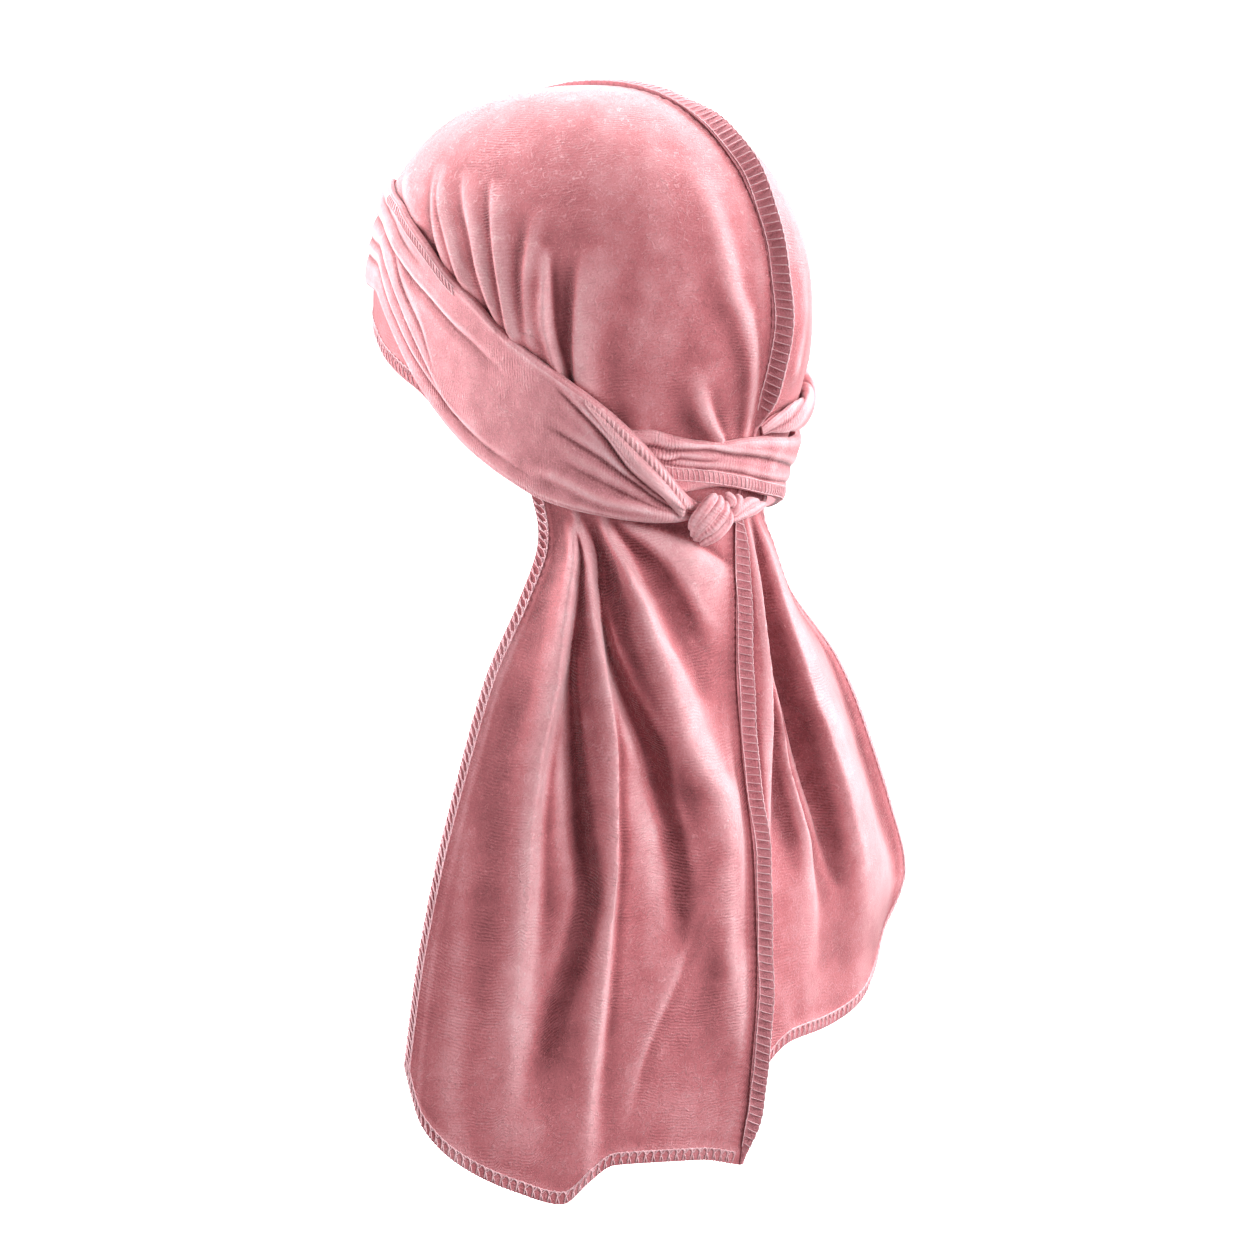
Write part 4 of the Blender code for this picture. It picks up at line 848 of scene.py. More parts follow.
TIE_RIGHT = Table(
    TIE,
    (
        (144, -132, -150.5, 2.8, 1.8), (149, -131.8, -156, 2.8, 2.4), (155, -134.0, -157, 2.8, 2.8),
        (161.8, -136.0, -155.6, 2.8, 3.0), (168.9, -136.6, -154.0, 3.0, 3.2), (174, -135.6, -154.6, 3.3, 3.3),
        (177.5, -135.0, -155.2, 4.1, 3.2), (182.5, -134.8, -156.4, 4.5, 3.0), (187, -134.9, -157.6, 5.5, 2.8),
        (198.3, -135.6, -160.0, 4.7, 3.2), (210, -134.0, -163.0, 4.2, 3.2), (225, -126.0, -166.0, 3.8, 3.2),
        (240, -114.0, -163.0, 3.8, 3.2), (255, -100.0, -153.0, 3.8, 3.0), (270, -84.0, -140.0, 3.8, 3.0),
        (285, -68.0, -126.0, 4.8, 3.0), (297, -57.0, -111.0, 5.0, 2.8), (312, -44.0, -97.0, 5.6, 2.8),
        (330, -33.0, -91.0, 6.0, 2.6), (336, -31.0, -72.0, 6.4, 2.4), (342, -30.0, -56.5, 5.4, 2.4),
        (355, -31.0, -54.0, 3.8, 2.2), (363, -37.0, -62.0, 3.5, 1.8), (370, -44.0, -72.0, 2.7, 1.6),
        (378, -53.0, -78.0, 2.7, 1.2),
    ),
)

# Creases along a band: share of its width from the top edge, depth (a ridge if negative), width above and below
BAND_CREASE = ("azimuth", "share", "depth", "above", "below")
CREASES_LEFT = (
    Table(BAND_CREASE, ((30, 0.14, 0.0, 1.5, 2.0), (49, 0.14, 0.9, 1.2, 2.0), (66, 0.16, 0.9, 1.2, 2.0), (80, 0.14, 0.0, 1.5, 2.0))),
    Table(
        BAND_CREASE,
        (
            (-46, 0.35, 1.2, 1.4, 3.0), (18, 0.36, 1.4, 1.4, 3.0), (43.7, 0.32, 1.9, 1.2, 3.6),
            (54.8, 0.34, 2.2, 1.1, 4.0),
            (72.6, 0.30, 2.2, 1.1, 4.4), (86, 0.26, 1.9, 1.2, 4.4), (100, 0.26, 0.8, 1.6, 4.0),
            (112, 0.27, 0.0, 2.0, 4.0),
        ),
    ),
    Table(BAND_CREASE, ((48, 0.36, 0.0, 2.0, 1.4), (56, 0.37, 1.2, 2.4, 1.2), (66, 0.47, 1.5, 2.6, 1.2), (76, 0.54, 1.4, 2.6, 1.4), (82, 0.72, 0.0, 2.0, 1.4))),
    Table(
        BAND_CREASE,
        (
            (-46, 0.55, 0.8, 1.6, 2.6), (18, 0.55, 1.0, 1.6, 2.6), (47.8, 0.54, 1.5, 1.4, 2.8),
            (58, 0.59, 1.6, 1.4, 3.0), (73, 0.69, 1.5, 1.4, 3.0), (86, 0.85, 0.0, 1.4, 2.4),
        ),
    ),
    Table(
        BAND_CREASE,
        (
            (-46, 0.76, 0.8, 1.4, 2.0), (18, 0.70, 1.0, 1.4, 2.0), (48, 0.71, 1.5, 1.3, 2.4),
            (61, 0.80, 1.6, 1.3, 2.4),
            (82, 0.83, 1.4, 1.3, 2.4), (100, 0.86, 0.8, 1.4, 2.4), (118, 0.85, 0.0, 1.6, 2.4),
        ),
    ),
    Table(BAND_CREASE, ((112, 0.80, 0.0, 3.0, 3.0), (124, 0.77, -1.0, 3.4, 2.6), (139, 0.83, -1.2, 3.4, 2.4), (154, 0.76, -1.2, 3.0, 2.4), (162, 0.66, -0.6, 3.0, 2.4))),
    Table(BAND_CREASE, ((124, 0.10, 0.0, 1.6, 1.6), (132.6, 0.19, 1.6, 1.6, 1.6), (138, 0.27, 2.4, 1.6, 1.5), (145, 0.43, 2.6, 1.6, 1.5), (158, 0.52, 2.0, 1.6, 1.5), (166, 0.5, 1.2, 1.6, 1.5))),
    Table(BAND_CREASE, ((120, 0.42, 0.0, 2.0, 2.4), (132.6, 0.45, 1.4, 1.8, 2.6), (144.6, 0.52, 1.8, 1.6, 2.8), (157, 0.62, 1.8, 1.4, 2.6), (166, 0.64, 1.2, 1.4, 2.4))),
    Table(BAND_CREASE, ((124, 0.62, 0.0, 2.0, 2.0), (134, 0.66, 0.7, 2.0, 2.4), (150, 0.70, 0.8, 1.8, 2.0), (164, 0.72, 0.4, 1.6, 2.0))),
)
CREASES_RIGHT = (
    Table(
        BAND_CREASE,
        (
            (144, 0.25, 0.8, 1.4, 2.4), (153, 0.24, 1.0, 1.3, 2.4), (164, 0.16, 1.1, 1.2, 2.8),
            (174.6, 0.31, 1.2, 1.2, 2.6), (190, 0.40, 1.2, 1.4, 2.6), (208, 0.46, 1.2, 1.6, 3.0),
            (240, 0.36, 1.8, 1.4, 4.0), (285, 0.28, 2.0, 1.2, 4.4),
            (310, 0.33, 1.8, 1.4, 3.6), (345, 0.38, 1.4, 1.4, 2.4), (378, 0.35, 0.8, 1.4, 2.4),
        ),
    ),
    Table(BAND_CREASE, ((150, 0.42, 0.0, 1.0, 1.0), (153.5, 0.42, 0.6, 1.0, 1.0), (158, 0.35, 0.8, 1.0, 1.2), (164, 0.38, 0.5, 1.0, 1.2), (169, 0.40, 0.0, 1.0, 1.2))),
    Table(
        BAND_CREASE,
        (
            (150, 0.46, 0.0, 1.2, 1.0), (156, 0.47, 0.6, 1.2, 1.0), (170, 0.61, 0.7, 1.2, 1.0),
            (184, 0.72, 0.7, 1.2, 1.0),
            (208, 0.70, 1.0, 1.4, 1.4), (240, 0.72, 1.5, 1.4, 3.0), (285, 0.80, 1.5, 1.4, 3.0),
            (310, 0.74, 1.4, 1.4, 2.6),
            (345, 0.70, 1.0, 1.4, 2.0), (378, 0.70, 0.6, 1.4, 2.0),
        ),
    ),
    Table(BAND_CREASE, ((212, 0.55, 0.0, 1.6, 2.0), (235, 0.54, 1.2, 1.6, 2.6), (262, 0.50, 1.5, 1.6, 3.0), (292, 0.54, 1.2, 1.6, 2.6), (320, 0.55, 0.0, 1.6, 2.0))),
)

# Edge of the left tie turned over on itself, towards the knot
TURNOVER = Table(
    ("azimuth", "upper", "lower", "thick"),
    (
        (132.5, -119.0, -121.0, 0.5),
        (136.5, -123.0, -127.6, 1.1),
        (143.3, -131.0, -140.5, 2.0),
        (149.5, -139.5, -150.0, 2.4),
        (154.0, -146.6, -156.8, 2.6),
        (157.4, -153.0, -162.0, 2.6),
        (159.0, -156.8, -163.8, 2.4),
        (160.2, -160.2, -163.6, 1.6),
    ),
)

# Right tie twisted into a rope above the band
TWIST = Table(
    ("azimuth", "z", "lift", "half_thick", "half_width"),
    (
        (182.0, -133.0, 3.0, 0.5, 2.6),
        (185.0, -130.2, 4.2, 1.6, 3.8),
        (190, -128.2, 5.4, 2.7, 5.4),
        (198, -126.6, 5.6, 3.1, 6.6),
        (212, -122.0, 5.6, 3.2, 7.0),
        (230, -112.0, 5.8, 3.4, 7.2),
        (250, -94.5, 5.8, 3.4, 7.0),
        (268, -76.0, 5.6, 3.2, 7.0),
        (281, -63.0, 5.0, 1.8, 6.2),
        (291, -59.5, 3.4, 0.6, 5.2),
    ),
)

# Strands of the knot: centre lines and radii. Four rolls side by side, two short ones, then the tail
STRAND = ("order", "azimuth", "z", "lift", "radius")
KNOT_STRANDS = (
    Table(
        STRAND,
        (
            (0, 167.6, -155.6, 8.6, 1.2), (1, 165.0, -156.8, 12.6, 2.0), (2, 163.0, -160.4, 13.8, 2.2),
            (3, 161.8, -165.1, 12.6, 2.0), (4, 162.3, -169.4, 8.8, 1.3),
        ),
    ),
    Table(
        STRAND,
        (
            (0, 168.9, -156.0, 9.0, 1.2), (1, 166.7, -158.6, 13.8, 2.0), (2, 164.2, -163.2, 14.6, 2.2),
            (3, 162.6, -168.4, 12.6, 1.9), (4, 162.8, -171.7, 8.8, 1.2),
        ),
    ),
    Table(
        STRAND,
        (
            (0, 170.6, -157.6, 9.6, 1.2), (1, 168.9, -161.7, 13.4, 1.9), (2, 166.5, -166.3, 13.8, 2.1),
            (3, 163.9, -170.9, 11.6, 1.8), (4, 163.8, -173.4, 8.4, 1.2),
        ),
    ),
    Table(
        STRAND,
        (
            (0, 172.0, -160.4, 9.6, 1.2), (1, 171.3, -165.5, 12.0, 1.8), (2, 168.7, -170.4, 12.0, 2.0),
            (3, 166.1, -173.8, 10.6, 1.7), (4, 165.5, -175.2, 9.0, 1.1),
        ),
    ),
    Table(
        STRAND,
        (
            (0, 170.6, -155.6, 8.2, 1.3), (1, 171.2, -156.2, 10.0, 1.6), (2, 171.7, -157.6, 11.0, 1.7),
            (3, 171.3, -159.8, 11.2, 1.5),
        ),
    ),
    Table(
        STRAND,
        (
            (0, 174.3, -156.6, 8.2, 1.4), (1, 174.2, -157.4, 10.0, 1.7), (2, 173.3, -160.2, 11.0, 1.8),
            (3, 172.6, -163.6, 10.2, 1.6),
        ),
    ),
    Table(
        STRAND,
        (
            (0, 172.8, -165.6, 9.8, 1.5), (1, 177.4, -164.1, 8.4, 1.8), (2, 182.3, -163.0, 7.4, 1.9),
            (3, 186.7, -161.8, 6.6, 1.5), (4, 190.5, -161.6, 5.6, 0.8),
        ),
    ),
    Table(
        STRAND,
        (
            (0, 173.2, -164.2, 9.6, 1.5), (1, 176.7, -161.4, 8.4, 2.0), (2, 180.6, -160.0, 7.2, 2.0),
            (3, 185.5, -160.4, 6.0, 1.4),
        ),
    ),
)

# Stitched strips on the ties: where each starts across the band
STRIP = ("azimuth", "share")
BACK_STRIP = Table(STRIP, ((153, 0.50), (160.5, 0.53), (170.4, 0.66), (177.4, 0.73), (183.4, 0.76), (214, 0.79)))
TOP_STRIP = Table(STRIP, ((46, 0.03), (92, 0.03)))


class SeamLine:
    """Middle seam of the durag, from the forehead over the top of the head to the hem."""

    def __init__(self, rim: Table, cape: Table, hem: Table) -> None:
        """Walks the head form from the forehead to the nape, and the cape's seam edge from there down."""
        top = 60
        front_rim = FORM.sweep_at(rim.at("z", 0.0) * MM)
        nape = rim.at("z", 180.0) * MM
        front = FORM.point(0.0, FORM.height_at(np.linspace(front_rim, 0, top)), CLOTH)
        back = FORM.point(180.0, FORM.height_at(np.linspace(0, FORM.sweep_at(nape), 80)[1:]), CLOTH)
        z = np.linspace(nape, hem.at("z", 0.0) * MM, 101)[1:]
        hanging = np.stack([0 * z, cape.at("seam_y", z / MM) * MM, z], axis=-1)
        fitted = FORM.point(180.0, z, CLOTH)
        share = smoothstep((nape - z) / CAPE_BLEND)[:, None]
        self.points = np.concatenate([front, back, fitted + (hanging - fitted) * share])
        self.points[:, 0] = 0
        steps = np.linalg.norm(np.diff(self.points, axis=0), axis=1)
        run = np.concatenate([[0], np.cumsum(steps)])
        self.run = run - run[top - 1]
        self.top = top
        along = np.gradient(self.points, axis=0)
        self.out = unit(np.stack([0 * self.run, -along[:, 2], along[:, 1]], axis=1))

    def at(self, run: Array) -> tuple[Array, Array]:
        """Point and outward direction at each run from the top of the head."""
        point = np.stack([np.interp(run, self.run, self.points[:, k]) for k in range(3)], axis=-1)
        out = np.stack([np.interp(run, self.run, self.out[:, k]) for k in range(3)], axis=-1)
        return point, unit(out)

    def run_at(self, z: Array, back: Array) -> Array:
        """Run of the seam at a height, behind the top of the head or before it."""
        behind = np.interp(-z, -self.points[self.top - 1 :, 2], self.run[self.top - 1 :])
        before = np.interp(z, self.points[: self.top, 2], self.run[: self.top])
        return np.where(back, behind, before)


class Wearer(Enum):
    """Half of the durag, as the sign of X there."""

    LEFT = 1
    RIGHT = -1


@dataclass
class ClothHalf:
    """One half of the durag: the cap stretched over the head and gathered under the ties, and the cape below them."""

    side: Wearer
    node: str
    rim: Table
    folds: tuple[Table, ...]
    cape: Table
    cape_azimuth: float
    hem: Table
    pleats: tuple[Table, ...]
    pouch: Table | None
    seam: SeamLine
    columns: tuple[tuple[float, float, int], ...]
    rows: tuple[int, int, int]
    press: float
    seed: int
    cap_cut: Cut
    cape_cut: Cut
    # Strength of the painted light and shade on the sides of the folds, by the way they face.
    lean: float
    lip: float = 0.9 * MM
    pucker: float = 0.3 * MM
    border: float = 6.2 * MM
    border_rise: float = 0.3 * MM
    steepest: float = 1.8
    grids: dict[str, tuple[Array, Array]] = field(default_factory=dict)

    def tie_edge(self, azimuth: Array) -> Array:
        """Height at which the cap goes under the ties."""
        if self.side is Wearer.LEFT:
            return np.maximum(TIE_LEFT.at("top", azimuth), BACK_EDGE.at("top", azimuth)) * MM
        return TIE_RIGHT.at("top", np.clip(360 - azimuth, 177, 359)) * MM

    def gathers(self, azimuth: Array, z: Array) -> Array:
        """Height of the gather folds, each a bell with a steep side towards the nape, faded out near the seam."""
        level = z / MM
        total = np.zeros(np.broadcast(azimuth, z).shape)
        for fold in self.folds:
            inside = smoothstep((level - fold.key[0] + 14) / 6)
            away = azimuth - fold.at("azimuth", level)
            total = total + fold.at("height", level) * inside * hump(away, fold.at("front", level), fold.at("back", level))
        return total * MM * smoothstep((180 - azimuth) / 7)

    def by_seam(self, base: Array, back: Array) -> Array:
        """Cloth rising to the seam, puckered between the stitches: a bell over the distance from the middle plane."""
        x = np.abs(base[..., 0])
        run = self.seam.run_at(base[..., 2], back)
        standing = np.clip(SEAM.at("height", run / MM) / 8, 0, 1)
        rise = self.lip * np.exp(-((x / 0.0018) ** 2))
        pinch = self.pucker * np.cos(2 * math.pi * run / STITCH) * np.exp(-x / 0.004)
        return (rise + pinch) * standing

    def cap(self, part: Array, azimuth: Array, depth: float) -> Array:
        """Cap cloth from the top of the head (0) to the ties (1) and on to the rim (2), depth inside its outer face."""
        edge, rim = FORM.sweep_at(self.tie_edge(azimuth)), FORM.sweep_at(self.rim.at("z", azimuth) * MM)
        z = FORM.height_at(edge * np.minimum(part, 1) + (rim - edge) * np.maximum(part - 1, 0))
        base = FORM.point(azimuth, z, CLOTH)
        pressed = smoothstep((self.tie_edge(azimuth) + self.press - z) / 0.008 + 0.3)
        folds = self.gathers(azimuth, z) * (1 - 0.93 * pressed)
        dents = 0.35 * MM * swell(base, 0.019, self.seed) + 0.16 * MM * swell(base, 0.0075, self.seed + 1)
        lift = folds + (dents + self.by_seam(base, azimuth > 90)) * smoothstep(part * 4) * (1 - pressed)
        return FORM.point(azimuth, z, CLOTH - depth + lift)

    def pleat_height(self, across: Array, z: Array, reach: Array) -> Array:
        """Height of the cape's pleats, which start a little way from the seam. The reach is its width there."""
        total = np.zeros(np.broadcast(across, z).shape)
        level = np.broadcast_to(z / MM, total.shape)
        for pleat in self.pleats:
            away = across - pleat.at("across", level)
            bell = hump(away, pleat.at("seam_width", level), pleat.at("edge_width", level))
            total = total + pleat.at("height", level) * MM * bell
        start = 1.8 * MM
        total = total * smoothstep((across * reach - start) / start / 3)
        if self.pouch:
            across = np.broadcast_to(across, total.shape)
            below_top = self.pouch.at("upper", across) - level
            above_crease = level - self.pouch.at("lower", across)
            swollen = (1 - np.exp(-np.maximum(below_top, 0) / 2.6)) * smoothstep(above_crease / 15)
            fall = 1 - 0.5 * smoothstep(below_top / 34)
            total = total + self.pouch.at("height", across) * MM * swollen * fall
        return total

    def hang(self, across: Array, down: Array, depth: float) -> Array:
        """Cape cloth, from the seam (0) to the edge (1) and from the cap (0) to the hem (1).

        Args:
            across: share of the way from the seam to the outer edge.
            down: share of the way from the cap to the hem.
            depth: distance inside the outer face.

        Returns:
            Points of a quadratic curve from the seam to the edge at each level, pushed out by the pleats, and
            blended into the head form where the cape leaves it.
        """
        azimuth = 180 - (180 - self.cape_azimuth) * across
        start = self.rim.at("z", azimuth) * MM
        z = start + (self.hem.at("z", across) * MM - start) * down
        level = z / MM
        seam_y, edge_x = self.cape.at("seam_y", level), self.cape.at("edge_x", level)
        edge_y, bulge = self.cape.at("edge_y", level), self.cape.at("bulge", level)
        chord = np.hypot(edge_x, edge_y - seam_y)
        mid_x = edge_x / 2 - 2 * bulge * (edge_y - seam_y) / chord
        mid_y = (seam_y + edge_y) / 2 + 2 * bulge * edge_x / chord
        rest = 1 - across
        x = 2 * across * rest * mid_x + across**2 * edge_x
        y = rest**2 * seam_y + 2 * across * rest * mid_y + across**2 * edge_y
        slope_x = 2 * rest * mid_x + 2 * across * (edge_x - mid_x)
        slope_y = 2 * rest * (mid_y - seam_y) + 2 * across * (edge_y - mid_y)
        slope = np.hypot(slope_x, slope_y)
        reach, step = chord * MM, 0.004
        ahead = self.pleat_height(across + step, z, reach)
        behind = self.pleat_height(across - step, z, reach)
        steepness = np.minimum(np.hypot(1, (ahead - behind) / (2 * step * reach)), self.steepest)
        base = np.stack([x * MM, y * MM, z], axis=-1)
        dents = 0.7 * MM * swell(base, 0.026, self.seed + 2) + 0.2 * MM * swell(base, 0.009, self.seed + 3)
        near = smoothstep(down * 9)
        dents = (dents * smoothstep(across * 9) + self.by_seam(base, np.True_)) * near
        inward = np.minimum((1 - across) * reach, (1 - down) * (start - self.hem.at("z", across) * MM))
        stitched = self.border_rise * smoothstep((self.border - inward) / (0.8 * MM) + 0.5) * (1 - 2 * depth / CLOTH)
        out = self.pleat_height(across, z, reach) + dents + stitched - depth * steepness
        hanging = base + out[..., None] * np.stack([-slope_y / slope, slope_x / slope, 0 * slope], axis=-1)
        fitted = FORM.point(azimuth, z, CLOTH + out)
        return fitted + (hanging - fitted) * smoothstep((start - z) / CAPE_BLEND)[..., None]

    def placed(self, points: Array) -> Array:
        """Points turned to this half's own side and kept clear of the middle plane."""
        sign = self.side.value
        points = points.copy()
        points[..., 0] = sign * np.maximum(points[..., 0], SEAM_SLIT)
        return points

    def finish_weights(self, points: Array, away: Array, reach: int) -> dict[str, Array]:
        """Crest, ribs and fibre weights over a grid: painted highlight on crests and painted shade in valleys, painted
        light and shade on the sides of folds by the way they face, ribbed where the cloth is stretched, and fibre marks
        stronger towards the top of the cap as a painted highlight there.
        """
        # Crest weight: painted highlight on crests and painted shade in valleys, at several sizes.
        crest = crests(points, away, {reach: 1.0, 2 * reach: 0.8, 5 * reach: 0.5})
        # Painted light and shade on the sides of the folds, by the way they face.
        crest = np.clip(crest + self.lean * painted_side_light(points, away, 10 * reach), -1, 1)
        ribs = np.clip(0.35 + 0.3 * swell(points, 0.03, self.seed + 4) + 0.5 * np.clip(-crest, 0, 1), 0, 1)
        # Fibre marks stronger towards the top of the cap: the pile's curls, and a painted highlight there.
        plush = 0.34 + 0.66 * smoothstep((points[..., 2] + 0.09) / 0.08)
        return {"crest": crest, "ribs": ribs, "plush": plush}

    def build(self, material: bpy.types.Material) -> list[bpy.types.Object]:
        """Builds the cap and the cape as two walls of cloth that meet along one line under the ties.

        Args:
            material: the velvet.

        Returns:
            The cap and the cape.
        """
        azimuth = spread(self.columns)[::-1][None, :]
        above, under, hanging = self.rows
        part = np.concatenate([np.linspace(0, 1, above + 1), np.linspace(1, 2, under + 1)[1:]])[:, None]
        across = (180 - azimuth) / (180 - self.cape_azimuth)
        across = np.clip(across[:, across[0] <= 1.0001], 0, 1)
        down = np.linspace(0, 1, hanging + 1)[:, None]
        made = []
        for name, pole in (("cap", True), ("cape", False)):
            if pole:
                outer, inner = (self.cap(part, azimuth, depth) for depth in (0.0, CLOTH))
                outer[0], inner[0] = FORM.point(0.0, 0.0, CLOTH), FORM.point(0.0, 0.0, 0.0)
            else:
                outer, inner = (self.hang(across, down, depth) for depth in (0.0, CLOTH))
            outer, inner = self.placed(outer), self.placed(inner)
            if not pole:
                top_outer, top_inner = self.grids["cap"]
                outer[0], inner[0] = top_outer[-1, : outer.shape[1]], top_inner[-1, : outer.shape[1]]
            self.grids[name] = (outer, inner)
            centre = np.array([0.0, 0.0, -0.08]) if pole else np.array([0.0, -0.05, 0.0]) * np.array([1, 1, 0])
            away = outer - centre
            if not pole:
                away = away * np.array([1.0, 1.0, 0.0])
            width = np.cumsum(np.linalg.norm(np.diff(outer, axis=1, prepend=outer[:, :1]), axis=-1), axis=1)
            fall = np.cumsum(np.linalg.norm(np.diff(outer, axis=0, prepend=outer[:1]), axis=-1), axis=0)
            skin = Skin()
            skin.sheet(
                outer, inner, np.stack([width, fall], axis=-1), pole, **self.finish_weights(outer, away, 3)
            )
            word = self.side.name.lower()
            made.append(settle(skin.build(f"{name}_{word}", material), "velvet", self.node))
        cap, cape = made
        self.cap_cut.declare(cap)
        self.cape_cut.declare(cape, cap.name)
        return made


@dataclass
class SeamAllowance:
    """Cloth edges of the two halves standing up along the seam, gathered into cells by the stitches over them."""

    seam: SeamLine
    thickness: float = 2.2 * MM
    clearance: float = 0.4 * MM
    slant: float = 0.25
    bulge: float = 0.34 * MM
    scallop: float = 0.45 * MM
    step: float = 0.62 * MM

    def height(self, run: Array) -> Array:
        """Height of the allowance, with a slow waver."""
        level = SEAM.at("height", run / MM) * MM
        return level * (1 + 0.035 * np.sin(run / 0.011) + 0.025 * np.sin(run / 0.0047 + 1))

    def lean(self, run: Array) -> Array:
        """Lean to the wearer's right, in radians, with a slow waver."""
        waver = 5.0 * np.sin(run / 0.019) + 3.0 * np.sin(run / 0.0083 + 2)
        return np.radians(SEAM.at("lean", run / MM) + waver * smoothstep(SEAM.at("height", run / MM) / 6 - 0.4))

    def cell(self, run: Array, share: Array) -> Array:
        """Bulge of the cloth between slanted stitches: the size of a sine that turns over once a stitch."""
        return np.abs(np.sin(math.pi * (run / STITCH + self.slant * share))) ** 0.7

    def surface(self, run: Array, inward: Array, lift: Array) -> Array:
        """Points over the allowance.

        Args:
            run: metres along the seam.
            inward: metres down from the top edge, positive on the wearer's left and negative on the right.
            lift: metres off the cloth.

        Returns:
            Points on the two faces, joined over the top edge by half a circle.
        """
        run, inward, lift = np.broadcast_arrays(run, inward, lift)
        point, out = self.seam.at(run)
        height, lean = self.height(run), self.lean(run)
        half = self.thickness / 2
        down = np.abs(inward)
        turn = np.minimum(down / half, 1) * math.pi / 2
        up = np.maximum(height - np.maximum(down, half), self.clearance)
        share = np.clip(up / np.maximum(height, 1e-6), 0, 1)
        cell = self.cell(run, share) * smoothstep(share * 5) * np.clip(height / 0.006, 0, 1)
        flare = 0.9 * MM * np.exp(-((up / 0.0012) ** 2)) * np.clip(height / 0.006, 0, 1)
        off = half * (0.72 + 0.28 * (1 - share)) + flare + self.bulge * (cell - 0.5) + lift
        sideways = np.sign(inward) * off * np.where(down < half, np.sin(turn), 1.0)
        rise = up + (half * 0.72 + lift) * np.where(down < half, np.cos(turn), 0.0)
        rise = rise + self.scallop * (cell - 1) * np.where(down < half, np.cos(turn), 0.0)
        x = sideways * np.cos(lean) - rise * np.sin(lean)
        away = sideways * np.sin(lean) + rise * np.cos(lean)
        made = point + out * away[..., None]
        made[..., 0] += x
        return made

    def build(self, material: bpy.types.Material) -> bpy.types.Object:
        """Builds the strip as a closed tube whose section runs down one face, under and up the other."""
        start, end = self.seam.run[0] + 0.5 * MM, self.seam.run[-1] - 0.5 * MM
        run = np.arange(start, end, self.step)[:, None]
        half = self.thickness / 2
        over = np.concatenate([half * np.linspace(0, 1, 4)[:-1], half + np.linspace(0, 1, 9) ** 1.3 * 0.0078])
        inward = np.concatenate([over[::-1], -over[1:]])[None, :]
        points = self.surface(run, inward, np.zeros((1, 1)))
        height = self.height(run)
        # Crest weight: painted shade over the whole strip, deepest in the pinches between the stitch cells.
        crest = self.cell(run, np.clip(1 - np.abs(inward) / height, 0, 1)) * 0.5 - 0.45
        skin = Skin()
        cloth = np.stack(np.broadcast_arrays(inward, run), axis=-1)
        skin.tube(points, cloth, crest=crest, ribs=0.3, plush=0.4)
        return settle(skin.build("seam_allowance_strip", material), "seam_allowance", "centre_seam")


